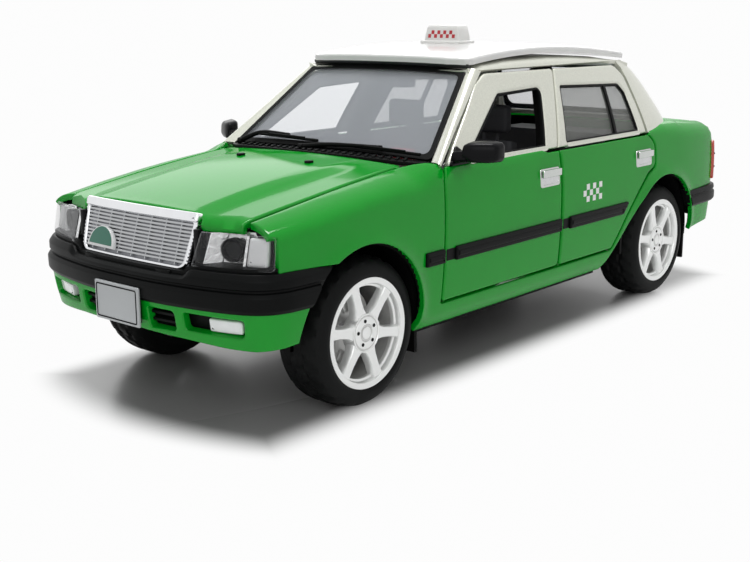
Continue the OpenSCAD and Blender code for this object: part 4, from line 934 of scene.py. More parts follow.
# Bumpers
FRONT_PLAN = Plan([(97.9, 0), (97.8, 7.5), (97.0, 15), (95.3, 23.7), (93.2, 29.8), (90.6, 33.2), (87.4, 34.9),
                   (83.4, 35.5), (72, 35.7), (66, 35.7)])
BACK_PLAN = Plan([(-98.5, 0), (-98.4, 18), (-97.6, 27), (-95.6, 31.8), (-92.0, 34.3), (-86, 35.4),
                  (-72, 35.8), (-66, 35.8)])


def arch_reach(z, gap):
    """How far ahead of or behind the middle of a wheel arch its edge lies at height z."""
    return math.sqrt(max((ARCH_R + gap) ** 2 - (z - ARCH_Z) ** 2, 1.0))


def front_end(z, gap=0.15):
    return ARCH_FX + arch_reach(z, gap)


def rear_end(z):
    return ARCH_RX - arch_reach(z, 0.2)


def dip(y):
    """How far the bumper's top drops in front of the grille."""
    return 1.5 * ease((18.4 - np.abs(y)) / 1.8)


def band(profile, plan, end_x, n, sink=None):
    """Closed bar along a plan line; profile is (outward, z), and its ends follow end_x(z)."""
    out, z = rounded(profile, 4).T
    ends = np.array([plan.s_at_x(end_x(height)) for height in z])
    rings = []
    for k in np.linspace(-1, 1, n):
        p, normal = plan.at(ends * k)
        drop = sink(p[:, 1]) * np.clip((z - 29.2) / 2.7, 0, 1) if sink else 0
        rings.append(np.column_stack([p + normal * out[:, None], z - drop]))
    return loft(Build(), rings)


front_profile = [(-2.4, BUMPER_BOT), (-0.5, BUMPER_BOT, 0.5), (0.05, 25.2, 0.6), (0.1, 27.6, 0.5),
                 (-0.35, 28.3, 0.15), (-0.85, 28.5, 0.15), (-0.85, 28.9, 0.15), (-0.35, 29.1, 0.2),
                 (-0.35, 30.6, 0.9), (-1.2, 31.8, 0.5), (-2.4, BUMPER_TOP)]
b = band(front_profile, FRONT_PLAN, front_end, 120, dip)
# ledge that closes the top of the bumper in front of grille and lamps
ledge = []
for s in FRONT_PLAN.s_at_x(84.6) * np.linspace(-1, 1, 61):
    p, normal = FRONT_PLAN.at(s)
    outer = np.array([*(p - normal * 1.8), BUMPER_TOP - 0.15 - dip(p[1])])
    pull = 0.93 if abs(outer[1]) > 24 else 1.0
    inner = np.array([min(outer[0] - 1.0, 88.0), outer[1] * pull, outer[2] + 0.35])
    ledge.append([outer, 0.5 * (outer + inner) + [0, 0, 0.05], inner])
sheet(b, ledge, 0.9, flip=True)
rbox_pair(b, (85.0, 9, 25.4), (96.0, 13, 30.9), 0.2)
b.piece("front_bumper_skin", "black_trim", "car", "black_trim", ["front_bumper"])

rear_profile = [(-2.6, 22.8), (-0.5, 22.8, 0.5), (0.05, 23.5, 0.5), (0.05, 25.4, 0.4), (-0.4, 25.8, 0.1),
                (-0.4, 26.1, 0.1), (-0.1, 26.4, 0.3), (-0.3, 27.5, 0.4), (-2.6, 27.9)]
b = band(rear_profile, BACK_PLAN, rear_end, 96)
b.piece("rear_bumper_skin", "black_trim", "car", "black_trim", ["rear_bumper"])

# Front valance, fog lamps and number plate
at_y = FRONT_PLAN.s_at_y


def valance_at(sunk):
    """Face of the valance, moved in by sunk."""

    def f(s, z):
        p, normal = FRONT_PLAN.at(s)
        down = BUMPER_BOT - z
        d = -0.75 - 0.10 * down - 0.012 * down ** 2 - sunk
        return np.column_stack([p + normal * d[:, None], z])

    return numeric(f, 1)


def valance_end(z):
    return FRONT_PLAN.s_at_x(front_end(z, 0.1))


half = [(at_y(0.001), 18.4), (at_y(16), 17.9), (at_y(26), 17.2), (at_y(31.5), 17.0)]
half += [(FRONT_PLAN.s_at_x(86.5), 17.3), (valance_end(17.8), 17.6)]
half += [(valance_end(z), z) for z in np.linspace(18.4, 24.9, 8)]
fog_hole = [(at_y(16.6), 19.9, 0.7), (at_y(29.4), 19.6, 0.9), (at_y(29.6), 23.2, 0.7),
            (at_y(16.4), 23.4, 0.6)]
mid_hole = [(at_y(7.3), 19.2, 0.5), (at_y(14.2), 19.2, 0.9), (at_y(14.2), 23.3, 0.9), (at_y(7.3), 23.3, 0.5)]
holes = [rounded(h) for h in (fog_hole, mid_hole)]
holes += [h * [-1, 1] for h in holes]
b = panel(Build(), symmetric(half), valance_at(0), 1.7, step=1.8, holes=holes)
b.piece("front_valance_skin", "paint_green", "car", "paint_green", ["front_valance"])

# dark backs of the openings, their slats, and the white fog lamps
b = Build()
for y0, z0, y1 in ((15.6, 18.9, 30.6), (6.4, 18.4, 15.0)):
    panel(b, rect(at_y(y0), z0, at_y(y1), 24.2), valance_at(2.2), 0.6, r=0.1, step=3)
for z in (20.4, 21.9):
    panel(b, rect(at_y(7.0), z, at_y(14.6), z + 0.6, 0.2), valance_at(1.0), 0.9, r=0.2, step=2)
b.both().piece("valance_openings", "black_trim", "car", "black_trim")
fog_line = [(at_y(21.6), 20.1, 0.4), (at_y(28.9), 20.1, 0.6), (at_y(28.9), 22.7, 0.6),
            (at_y(21.6), 22.7, 0.4)]
b = panel(Build(), rounded(fog_line), valance_at(1.0), 1.2, step=1.4).both()
b.piece("fog_lamp_faces", "lamp_white", "car", "lamp_white", ["fog_lamps"])

b = rbox(Build(), (97.9, -6.7, 19.2), (98.6, 6.7, 27.0), 0.3, seg=3)
rbox(b, (97.0, -5.7, 19.8), (98.0, 5.7, 24.3), 0.1, 1)
edge = rect(-6.2, 19.7, 6.2, 26.5, 0.5)
plate_face = numeric(lambda y, z: np.stack([np.full_like(y, 98.68), y, z], -1), 1)
panel(b, edge, plate_face, 0.3, r=0.06, step=3, holes=[offset(edge, 0.28)], mat=1)
b.piece("front_plate_face", ["plate_silver", "black_trim"], "car", "plate_silver", ["front_number_plate"])

# Grille, whose height h runs up its lean
LEAN = math.radians(17.0)
GRILLE_X, GRILLE_Z = 94.4, BUMPER_TOP
GRILLE_UP = np.array([-math.sin(LEAN), math.cos(LEAN)])
GRILLE_OUT = np.array([math.cos(LEAN), 0, math.sin(LEAN)])
SLATS, SLAT_PITCH, SLAT_H = 11, 0.71, 0.48


def grille_f(y, h):
    return np.stack([GRILLE_X + h * GRILLE_UP[0] - 0.6 * (y / 16.8) ** 2, y, GRILLE_Z + h * GRILLE_UP[1]], -1)


def grille_at(d):
    return moved(grille_f, d * GRILLE_OUT, 1)


surround = rounded(symmetric([(15.6, -0.9, 2.0), (16.8, 8.2, 0.8), (16.9, 9.9, 0.6)]))
opening = rounded(symmetric([(14.9, -0.3, 1.4), (15.9, 8.0, 0.3)]))
b = panel(Build(), surround, grille_at(0.55), 1.6, step=1.6, holes=[opening])
panel(b, rounded(symmetric([(17.0, 8.1, 0.5), (16.9, 10.0, 0.6)])), grille_at(0.95), 1.6, r=0.55, step=1.6)
for h in 0.25 + SLAT_PITCH * np.arange(SLATS):
    w = 15.2 + 0.7 * h / 8
    panel(b, rect(-w, h, w, h + SLAT_H), grille_at(0.3), 0.8, r=0.2, mat=2)
    # the slats return along the sides of the grille
    x, _, z = grille_f(0, h + SLAT_H / 2) + 0.2 * GRILLE_OUT
    y = 15.75 + 0.115 * h
    rbox_pair(b, (x - 3.4, y - 0.7, z - 0.26), (x - 0.3, y + 0.3, z + 0.26), 0.2)
for y in np.linspace(-12.6, 12.6, 7):
    panel(b, rect(y - 0.12, -0.2, y + 0.12, 8.0), grille_at(0.22), 0.6, r=0.05, mat=2)
panel(b, symmetric([(15.6, -0.6), (16.2, 8.4)]), grille_at(-0.5), 0.6, r=0.1, step=3, mat=1)
rbox(b, (85.0, -12, 32.9), (92.0, 12, 38.4), 0.2, 1)
b.piece("grille_bars", ["bright_trim", "grille_back", "grille_chrome"], "car", "bright_trim", ["grille"])

BADGE_Y, BADGE_H = -9.2, 0.3
b = panel(Build(), arc(BADGE_Y, BADGE_H, 4.3, 0, 180, 24), grille_at(1.0), 0.8, r=0.15, step=1.2, mat=1)
panel(b, arc(BADGE_Y, BADGE_H + 0.35, 3.75, 3, 177, 22), grille_at(1.08), 0.4, r=0.05, step=1.2)
b.piece("grille_badge_face", ["badge_green", "badge_white"], "car", "badge_green", ["grille_badge"])

# Headlamps, whose a runs from 0 at the grille to LAMP_W at the fender
LAMP_W = 16.0
LAMP_AIM = np.array([0.93, 0.36, 0])
INNER_LOW, INNER_TOP = (94.6, 17.6), (92.3, 18.2)
OUTER_LOW, OUTER_TOP = (89.0, 33.6), (88.0, 33.2)


def lamp_f(a, z):
    t, k = (z - LAMP_BOT) / (LAMP_TOP - LAMP_BOT), a / LAMP_W
    x0, y0 = (low + (top - low) * t for low, top in zip(INNER_LOW, INNER_TOP))
    x1, y1 = (low + (top - low) * t for low, top in zip(OUTER_LOW, OUTER_TOP))
    corner = -14.4 * np.clip(k - 0.78, 0, 1) ** 2
    return np.stack([x0 + (x1 - x0) * k + 0.9 * k * (1 - k) + corner, y0 + (y1 - y0) * k, z], -1)


def lamp_at(d):
    return moved(lamp_f, d * LAMP_AIM, 1)


def lamp_wall(a0, a1, d0, d1):
    """Slanting wall that goes from d0 to d1 behind the lamp's face."""

    def f(a, z):
        return lamp_f(a, z) + (d0 + (d1 - d0) * (a - a0) / (a1 - a0))[:, None] * LAMP_AIM

    return numeric(f, 1)


lamp_line = rounded([(0.2, LAMP_BOT, 0.4), (15.9, LAMP_BOT, 0.6), (15.9, LAMP_TOP, 0.8),
                     (0.2, LAMP_TOP, 0.4)])
b = panel(Build(), lamp_line, lamp_at(-2.6), 0.6, r=0.1, step=1.6)
for a0, a1, d0, d1 in ((2.2, 5.2, -0.5, -2.4), (9.2, 10.0, -2.4, -0.6)):
    wall = rect(a0, LAMP_BOT + 0.3, a1, LAMP_TOP - 0.3)
    panel(b, wall, lamp_wall(a0, a1, d0, d1), 0.5, r=0.05, step=1.2)
corner_lamp = rect(10.6, LAMP_BOT + 0.5, 14.6, LAMP_TOP - 0.5, 0.5)
panel(b, corner_lamp, lamp_at(-0.35), 1.6, r=0.6, step=1.0, mat=1)
lamp_mats = ["lamp_silver", "lamp_white"]
b.both().piece("headlamp_reflectors", lamp_mats, "car", "lamp_silver", ["headlamp_housings"])
b = panel(Build(), lamp_line, lamp_at(0.45), 0.7, r=0.25, step=1.3).both()
b.piece("headlamp_glass", "lens", "car", "clear_glass", ["headlamp_lenses"])

# dark bulb cup and the boxes behind the lamp
centre = lamp_f(7.4, 35.5) - 0.7 * LAMP_AIM
aim = unit(LAMP_AIM)
sideways = np.array([-aim[1], aim[0], 0])
angles = np.arange(32)[:, None] * 2 * math.pi / 32
circle = np.cos(angles) * sideways + np.sin(angles) * np.array([0, 0, 1.0])
cup = ((2.15, -1.6), (2.25, 0.1), (2.05, 0.3), (1.75, 0.1), (1.7, -1.0), (1.2, -1.2))
b = loft(Build(), [centre + aim * d + r * circle for r, d in cup])
rbox(b, (lamp_f(-0.6, 32.4)[0] - 4.0, 16.8, LAMP_BOT), (93.0, 18.0, LAMP_TOP + 0.2), 0.2)
rbox(b, (85.2, 17.4, LAMP_BOT), (87.2, 31.6, LAMP_TOP), 0.2)
rbox(b, (86.2, 32.2, LAMP_BOT + 1.2), (87.2, 33.4, LAMP_BOT + 3.4), 0.2)
b.both().piece("headlamp_inners", "gloss_black", "car", "black_trim")


# Tail lamps and rear number plate
def tail_at(d):
    """Body's side moved out by d along the normals of its plan."""
    return numeric(lambda u, z: body_side_f(u, z) + np.pad(plan_at(u)[1], ((0, 0), (0, 1))) * d, -1)


TAIL_LOW, TAIL_TOP = 29.0, 40.2
ahead, split, inward = -90.6, rear_u(26.4), rear_u(19.9)
red = [(split, TAIL_LOW, 0.4), (ahead, TAIL_LOW, 0.8), (ahead - 0.3, TAIL_TOP, 0.8), (split, TAIL_TOP, 0.4)]
amber = [(inward, TAIL_LOW, 0.6), (split - 0.25, TAIL_LOW, 0.3), (split - 0.25, TAIL_TOP, 0.3),
         (inward, TAIL_TOP, 0.6)]
b = Build()
for mat, outline in enumerate((red, amber)):
    panel(b, rounded(outline), tail_at(0.75), 1.2, step=1.3, mat=mat)
for z in (32.4, 36.2):
    panel(b, rect(inward + 0.3, z, ahead - 0.4, z + 0.4), tail_at(0.95), 0.5, r=0.12, step=1.8, mat=2)
b.both().piece("tail_lamp_faces", ["lamp_red", "lamp_amber", "black_trim"], "car", "lamp_red", ["tail_lamps"])


def behind_lid(d):
    """Upright surface that follows the back of the boot lid, d behind it."""
    z, x = lid_profile[::-1, 1], lid_profile[::-1, 0]
    return numeric(lambda y, h: np.stack([np.interp(h, z, x) - d, y, h], -1), -1)


edge = rect(-6.7, 33.4, 6.7, 40.4, 0.5)
b = panel(Build(), edge, behind_lid(0.75), 0.9, r=0.25, step=2)
panel(b, offset(edge, 0.5), behind_lid(0.82), 0.3, r=0.05, step=2, holes=[offset(edge, 0.8)], mat=1)
b.piece("rear_plate_face", ["plate_yellow", "black_trim"], "boot", "plate_silver", ["rear_number_plate"])

# Cowl, wipers and washer nozzles
COWL_HW = 30


def cowl_f(x, y):
    return np.stack([x, y, 46.65 + 0.03 * (x - 39) + 0.45 * (1 - (y / COWL_HW) ** 2)], -1)


def cowl_front(y):
    return COWL_X + 0.5 - 1.4 * (y / COWL_HW) ** 2 - 2.6 * max(0.0, (abs(y) - 25) / 5) ** 1.4


cowl_line = [(38.0 + 0.9 * (1 - (y / COWL_HW) ** 2), y) for y in np.linspace(-COWL_HW, COWL_HW, 15)]
cowl_line += [(cowl_front(y), y) for y in np.linspace(COWL_HW, -COWL_HW, 25)]
b = panel(Build(), np.array(cowl_line), numeric(cowl_f, 1), 0.8, r=0.15)
for y in 2.05 * np.arange(-12, 13):
    bow = (y / COWL_HW) ** 2
    slat_at = Matrix.Translation((41.5 - 1.4 * bow, y, 46.85 + 0.4 * (1 - bow)))
    turn = slat_at @ Matrix.Rotation(math.radians(32), 4, "Z")
    rbox(b, (-1.8, -0.36, -0.4), (1.8, 0.36, 0.3), 0.12, turn=turn)
b.piece("cowl_grille", "black_trim", "car", "black_trim", ["cowl_panel"])

off_glass = np.array([0.64, 0, 0.77])
# a wiper is the points of its arm and the two ends of its blade
right_wiper = (((40.0, -26.6, 47.6), (37.7, -21.8, 49.6), (37.8, -12.5, 49.7)),
               (37.9, -22.6, 49.2), (38.3, -2.9, 48.9))
left_wiper = (((40.9, -5.6, 47.7), (39.4, 2.1, 48.5), (38.7, 16.5, 48.9)),
              (38.8, 8.0, 48.5), (39.3, 27.6, 48.1))
b = Build()
for arm, start, end in (right_wiper, left_wiper):
    tube(b, smooth_curve(arm, 12), np.linspace(0.62, 0.35, 12))
    start, end = np.array(start), np.array(end)
    tube(b, np.linspace(start, end, 14) + off_glass * 0.1, 0.34)
    tube(b, np.linspace(start * 0.8 + end * 0.2, start * 0.2 + end * 0.8, 8) + off_glass * 0.55, 0.26)
    x, y, z = arm[0]
    lathe(b, rect(0.05, y - 0.6, 0.75, y + 0.6), x, z - 0.1, seg=16)
b.piece("wiper_arms", "black_trim", "car", "black_trim", ["wipers"])

b = Build()
x = 55.3
for y in (-10.4, 10.4):
    z = hood_f(x, y)[2]
    rbox(b, (x - 0.9, y - 0.7, z - 0.2), (x + 0.7, y + 0.7, z + 0.55))
    rbox(b, (x - 1.2, y - 0.35, z + 0.1), (x - 0.7, y + 0.35, z + 0.45), 0.1)
b.piece("washer_nozzles", "black_trim", "bonnet", "black_trim")

# Rub strips, handles, mirrors and check blocks of the doors
STRIP_LOW, STRIP_TOP = 26.1, 29.1


def strip(x0, x1, x0_top, lead=0.0):
    """Rub strip with a ridge; lead is a flush foot ahead of the hinge, thin enough to swing clear."""
    outline = [(x0, STRIP_LOW, 0.3), (x1, STRIP_LOW, 0.4), (x1, STRIP_TOP, 0.4), (x0_top, STRIP_TOP, 0.3)]
    out = panel(Build(), rounded(outline), on_side(0.62), 0.9, step=1.8)
    z0, z1 = STRIP_LOW + 0.9, STRIP_TOP - 0.9
    ridge = [(x0 + 0.6, z0, 0.2), (x1 - 0.6, z0, 0.2), (x1 - 0.6, z1, 0.2), (x0_top + 0.6, z1, 0.2)]
    panel(out, rounded(ridge), on_side(0.80), 0.5, r=0.25, step=1.8)
    if lead > 0:
        z0, z1 = STRIP_LOW + 0.2, STRIP_TOP - 0.2
        foot = [(x1 - 0.6, z0), (x1 + lead, z0, 0.3), (x1 + lead, z1, 0.3), (x1 - 0.6, z1)]
        panel(out, rounded(foot), on_side(0.06), 0.5, r=0.15, step=1.8)
    return out


strip(40.6, 46.9, 40.6).both().piece("fender_strips", "black_trim", "car", "black_trim", ["body_strips"])
front_strip = strip(B_POST_X + 0.4, 36.8, B_POST_X + 0.4, 2.95)
for tag, b in (("f", front_strip), ("r", strip(-35.4, -9.2, -38.2, 2.65))):
    on_doors(b, "rub_strip_{}", "black_trim", "black_trim", tag, "strip_{}")

handle_y = float(flank_y(39.6)) + 0.12
for tag, x in (("f", -0.4), ("r", -46.2)):
    hole = [(x - 3.4, 38.1, 0.6), (x + 3.4, 38.1, 0.6), (x + 3.4, 40.4, 0.5), (x - 3.4, 40.4, 0.5)]
    base = rect(x - 4.1, 37.4, x + 4.1, 41.8, 0.7)
    b = panel(Build(), base, on_side(0.22), 0.8, r=0.25, step=1.2, holes=[rounded(hole)])
    panel(b, rect(x - 3.6, 37.9, x + 3.6, 40.6), on_side(0.10), 0.3, r=0.05, step=1.5, mat=1)
    rbox(b, (x - 3.9, handle_y + 0.1, 39.7), (x + 3.9, handle_y + 0.85, 41.5), 0.3, seg=3)
    on_doors(b, "handle_pull_{}", ["handle_chrome", "lamp_silver"], "bright_trim", tag, "handle_{}")

MIRROR_X, MIRROR_Y, MIRROR_Z, MIRROR_SWEEP = 33.0, 38, 48.8, 0.55
foot = rounded([(37.2, 46.0, 0.4), (29.2, 46.0, 0.4), (29.8, 47.6, 0.6), (33.0, 50.0, 0.6)])
b = panel(Build(), foot, on_house(0.55), 1.0, step=1.4)
arm = []
section = rounded([(36.2, 46.4, 0.5), (32.6, 46.4, 0.5), (32.6, 48.8, 0.5), (35.6, 48.8, 0.5)], 3)
for y, rearward, up in ((33.2, 0, 0), (35.0, 0.2, 0.3), (36.6, 0.3, 0.5)):
    arm.append([(x - rearward, y, z + up) for x, z in section])
loft(b, arm)
head = []
section = rounded([(-2.0, -1.9, 0.7), (1.9, -1.7, 1.2), (1.6, 1.6, 1.3), (-2.0, 2.0, 0.7)], 5)
for y, size in ((35.6, 0.55), (35.9, 0.8), (36.5, 0.95), (38.2, 1.0), (40.4, 0.99), (41.6, 0.9), (42.1, 0.7),
                (42.25, 0.45)):
    middle = MIRROR_X - MIRROR_SWEEP * (y - MIRROR_Y)
    head.append([(middle + 1.1 * size * x, y, MIRROR_Z + 1.22 * size * z) for x, z in section])
loft(b, head)
glass = numeric(lambda y, z: np.stack([30.85 - MIRROR_SWEEP * (y - MIRROR_Y), y, z], -1), -1)
panel(b, rect(36.5, 47.1, 41.4, 50.6, 0.5), glass, 0.3, r=0.05, step=1.5, mat=1)
on_doors(b, "door_mirror_{}", ["gloss_black", "bright_trim"], "black_trim", "f", "mirror_{}")


def checks(b, surf, u0, v0, columns, rows, pitch, size, thick, step, mat=0):
    """Plain check pattern, where the photograph shows a marking."""
    for i in range(columns):
        for j in range(i % 2, rows, 2):
            u, v = u0 + i * pitch, v0 + j * pitch
            panel(b, rect(u, v, u + size, v + size), surf, thick, r=0.02, step=step, mat=mat, turns=2)
    return b


b = checks(Build(), on_side(0.06), -24.4, 31.6, 6, 3, 1.5, 1.42, 0.12, 1.0)
on_doors(b, "door_checks_{}", "print_white", "sign_white", "r")

# Roof sign
SIGN_X, SIGN_Z = -6.4, 69.7


def sign_face(facing):
    """Sloping front (1) or back (-1) of the sign."""
    return numeric(lambda y, z: np.stack([SIGN_X + facing * (2.84 - (z - SIGN_Z) * 0.18), y, z], -1), facing)


b = rbox(Build(), (SIGN_X - 3.3, -6.1, SIGN_Z - 0.5), (SIGN_X + 3.3, 6.1, SIGN_Z + 0.6), 0.3, seg=3)
section = rect(-2.7, -5.4, 2.7, 5.4, 0.6, 4)
rings = []
for up, size in ((0.4, 1.0), (1.4, 0.985), (3.1, 0.93), (3.9, 0.90), (4.2, 0.86), (4.3, 0.8)):
    rings.append([(SIGN_X + x * (size - up * 0.03), y * size, SIGN_Z + up) for x, y in section])
loft(b, rings)
for facing in (1, -1):
    checks(b, sign_face(facing), -4.1, SIGN_Z + 1.25, 9, 2, 0.92, 0.9, 0.2, 0.9, mat=1)
b.piece("roof_sign_lamp", ["sign_white", "print_red"], "car", "sign_white", ["roof_sign"])

# Wheels, as profiles of (radius, y)
TREAD_Y, TREAD_SEGMENTS = 28, 144
SPOKE_PHASE = math.radians(130.0)
tyre_profile = [(10.85, 33.3), (11.6, 33.85), (12.4, 33.95), (13.6, 33.6), (14.5, 32.9), (15.05, 32.0),
                (15.35, 30.9)]
tyre_profile += [(15.4, y) for y in np.linspace(30.2, 25.8, 9)]
tyre_profile += [(15.35, 25.1), (15.05, 24.0), (14.5, 23.1), (13.6, 22.4), (12.4, 22.15), (11.6, 22.2),
                 (10.85, 22.7), (10.8, 25), (10.8, 30)]
rim_ring = [(11.45, 33.35), (11.3, 33.7), (10.9, 33.72), (10.15, 33.6), (10.0, 33.3), (9.9, 32.4),
            (10.2, 32.2), (10.85, 32.9)]
rim_barrel = [(10.1, 32.6), (9.75, 31.6), (9.7, 30.6), (9.9, 28.5), (10.0, 23.2), (10.75, 23.2), (10.8, 28.0),
              (10.8, 32.4)]
rim_step = [(9.9, 32.5), (9.5, 32.35), (9.35, 32.0), (9.5, 31.4), (9.9, 31.2)]
hub = [(0.02, 33.35), (1.0, 33.35), (1.25, 33.2), (1.3, 32.95), (1.75, 32.95), (1.85, 33.15), (3.2, 33.15),
       (3.35, 33.0), (3.5, 33.0), (3.75, 33.25), (3.95, 33.2), (4.1, 32.7), (4.2, 30.4), (0.02, 30.4)]
# radius, half width, outer and inner y along a spoke
SPOKE = ((3.4, 2.0, 33.0, 30.8), (4.2, 1.55, 33.05, 30.9), (5.2, 1.25, 33.1, 31.1), (7.5, 1.12, 33.2, 31.3),
         (9.3, 1.22, 33.3, 31.4), (10.3, 1.5, 33.35, 31.5))


def tread_wave(prof, k):
    """Grooves across and round the tread."""
    r, y = prof[:, 0].copy(), prof[:, 1] - TREAD_Y
    top = r > 14.9
    shift = np.round(y / 1.1).astype(int)
    cut = ((k + shift * 2) % 6 < 2) & top & (np.abs(y) > 0.4)
    rib = top & (np.abs(np.abs(y) - 1.65) < 0.3)
    r[cut | rib] -= 0.42
    return r


def rim(x):
    """Six-spoke rim with its hub, nuts and brake blocks."""
    out = lathe(Build(), rim_ring, x, AXLE_Z, seg=96)
    # the barrel is a darker grey than the rim's face: painted shade inside the rim, behind the spokes
    lathe(out, rim_barrel, x, AXLE_Z, mat=2, seg=96)
    lathe(out, rim_step, x, AXLE_Z)
    lathe(out, hub, x, AXLE_Z, seg=60)
    # darker grey rings in the hub's two grooves: painted shade in the grooves
    for r0, r1, y in ((1.35, 1.72, 33.02), (3.3, 3.55, 33.08)):
        lathe(out, rect(r0, y, r1, y - 0.3), x, AXLE_Z, mat=2, seg=48)
    for a in SPOKE_PHASE + np.arange(6) * math.pi / 3:
        c, s = math.cos(a), math.sin(a)
        rings = []
        for r, w, y1, y0 in SPOKE:
            section = [(-w, y0), (w, y0), (w * 0.98, y1 - 0.35), (w * 0.8, y1)]
            section += [(-w * 0.8, y1), (-w * 0.98, y1 - 0.35)]
            rings.append([(x + c * r - s * q, y, AXLE_Z + s * r + c * q) for q, y in section])
        loft(out, rings)
    for a in SPOKE_PHASE + 0.4 + np.arange(5) * 2 * math.pi / 5:
        nut = rect(0.02, 33.22, 0.38, 32.9)
        lathe(out, nut, x + 2.5 * math.cos(a), AXLE_Z + 2.5 * math.sin(a), mat=1, seg=14)
    for a in SPOKE_PHASE + 0.2 + np.arange(3) * 2 * math.pi / 3:
        turn = Matrix.Translation((x, 0, AXLE_Z)) @ Matrix.Rotation(a, 4, "Y")
        rbox(out, (-1.6, 29.4, 4.8), (1.6, 30.4, 7.6), 0.5, 2, turn)
    return out


for tag, x in (("front", AXLE_FX), ("rear", AXLE_RX)):
    b = lathe(Build(), tyre_profile, x, AXLE_Z, seg=TREAD_SEGMENTS, wave=tread_wave).both()
    b.piece(f"{tag}_tyre_pair", "tyre_black", f"wheels_{tag}", "tyre_black", [f"{tag}_tyres"], angle=32)
    rim_mats = ["rim_silver", "gloss_black", "disc_grey"]
    rim(x).both().piece(f"{tag}_rim_pair", rim_mats, f"wheels_{tag}", "rim_silver", [f"{tag}_rims"])


# Seats and cabin mirror
def seat(b, x, yc, hw, length, back_top, lean):
    """Moulded seat: a crowned cushion and a leaning back, both with a dished middle."""
    for upright in (False, True):
        rings = []
        for t in np.linspace(0, 1, 12):
            w = hw * (1 - 0.10 * (2 * t - 1) ** 4)
            swell = 1 + 0.10 * math.sin(math.pi * t)
            if upright:
                cx, cz, dx, dz = x + 0.5 - lean * t, 22.0 + (back_top - 22.0) * t, 1, 0.25
                h = 2.3 * swell * (0.8 + 0.2 * math.sin(math.pi * min(1, t + 0.1)))
            else:
                cx, cz, dx, dz = x + length * t, 21.6 + t, 0, 1
                h = 2.7 * swell * (0.75 + 0.25 * math.sin(math.pi * min(1, t * 1.2 + 0.05)))
            half = [(w, -h, 1.2), (w, h * 0.8, 1.4), (w * 0.62, h * 1.06, 1.2), (w * 0.58, h * 0.86, 0.6)]
            rings.append([(cx + dx * s, yc + y, cz + dz * s) for y, s in rounded(symmetric(half), 4)])
        loft(b, rings)
    return b


b = Build()
for y in (-13.6, 13.6):
    seat(b, 0.6, y, 9.4, 18.5, 46.5, 5.5)
    rbox(b, (-8.4, y - 5.2, 48.2), (-5.4, y + 5.2, 55.0), 1.1, seg=4)
    for side in (-2, 2):
        tube(b, [(-6.2, y + side, 45.0), (-7.0, y + side, 49.0)], 0.4)
b.piece("front_seat_pair", "seat_grey", "car", "interior_grey", ["front_seats"])
b = seat(Build(), -41.0, 0.0, 24.5, 17.5, 45.0, 5.0)
b.piece("rear_bench", "seat_grey", "car", "interior_grey", ["rear_seat"])

section = rounded([(-0.6, -1.4, 0.3), (0.6, -1.4, 0.4), (0.5, 1.4, 0.4), (-0.6, 1.4, 0.3)], 3)
rings = []
for y, size in ((-5.4, 0.5), (-5.0, 0.9), (-3.0, 1.0), (0, 1.05), (3.0, 1.0), (5.0, 0.9), (5.4, 0.5)):
    rings.append([(13.4 + x * size, y, 61.2 + z * size) for x, z in section])
b = tube(loft(Build(), rings), [(13.6, 0, 62.2), (14.4, 0, 63.9)], 0.5)
b.piece("cabin_mirror_head", "gloss_black", "car", "black_trim", ["cabin_mirror"])

# Finishes of the carried-over pieces
KEPT = {"interior_tub": "interior_grey", "dashboard": "dash_dark", "steering_wheel": "gloss_black",
        "fare_meter": "meter_red", "engine_insert": "engine_grey", "mud_flaps": "chassis_black",
        "front_axle": "steel", "rear_axle": "steel", "front_brake_discs": "disc_grey",
        "rear_brake_discs": "disc_grey"}
KEPT.update({f"card_{at}": "interior_grey" for at in BODY})
for node, finish_name in KEPT.items():
    obj = frame["nodes"][node]
    obj.data.materials.clear()
    obj.data.materials.append(M[finish_name])
    bevel = obj.modifiers.new("soft_edges", "BEVEL")
    bevel.width = 0.15 * MM
    bevel.segments = 2
    bevel.limit_method = "ANGLE"
    bevel.angle_limit = math.radians(40)

# Underbody: the chassis with both ends turned up and its side edges drawn in, and its screws with it
UP_FRONT_X, UP_REAR_X = 72.0, -82.0
SCREW_FRONT_X, SCREW_REAR_X = 81.4, -90.6


def rise(x):
    """How far the underbody is turned up at x."""
    return 0.36 * max(0.0, x - UP_FRONT_X) + 0.45 * max(0.0, UP_REAR_X - x)


for node, finish_name in (("chassis", "chassis_black"), ("chassis_screws", "steel")):
    mesh = frame["nodes"][node].data.copy()
    bm = bmesh.new()
    bm.from_mesh(mesh)
    for x in (UP_FRONT_X, UP_REAR_X):
        everything = [*bm.verts, *bm.edges, *bm.faces]
        bmesh.ops.bisect_plane(bm, geom=everything, plane_co=(x * MM, 0, 0), plane_no=(1, 0, 0))
    for v in bm.verts:
        x, y, z = v.co / MM
        if node == "chassis_screws":
            v.co.z += rise(SCREW_FRONT_X if x > 0 else SCREW_REAR_X) * MM
            continue
        if z < 15.0:
            v.co.z += rise(x) * MM
        if abs(y) > 31.4 and v.co.z < 14.3 * MM:
            v.co.y = math.copysign(31.0 * MM, y)
    bm.to_mesh(mesh)
    bm.free()
    mesh.materials.clear()
    mesh.materials.append(M[finish_name])
    obj = put(node + "_underbody", mesh)
    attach(obj, "car")
    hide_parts(node)


# Stage
def maths(tree, operation, *values):
    return add(tree, "Math", ("operation", operation), values).outputs[0]


def seen_directly(tree):
    """1 for rays from the camera, a gloss or a glass, 0 for the rays that light things."""
    path = add(tree, "LightPath").outputs
    either = maths(tree, "MAXIMUM", path["Is Camera Ray"], path["Is Glossy Ray"])
    return maths(tree, "MAXIMUM", either, path["Is Transmission Ray"])


WHITE = (0.98, 0.98, 0.98, 1)
AMBIENT = (0.27, 0.27, 0.27, 1)
mesh = bpy.data.meshes.new("floor")
mesh.from_pydata([(-4, -4, 0), (4, -4, 0), (4, 4, 0), (-4, 4, 0)], [], [(0, 1, 2, 3)])
mesh.materials.append(M["floor"])
put("floor", mesh)
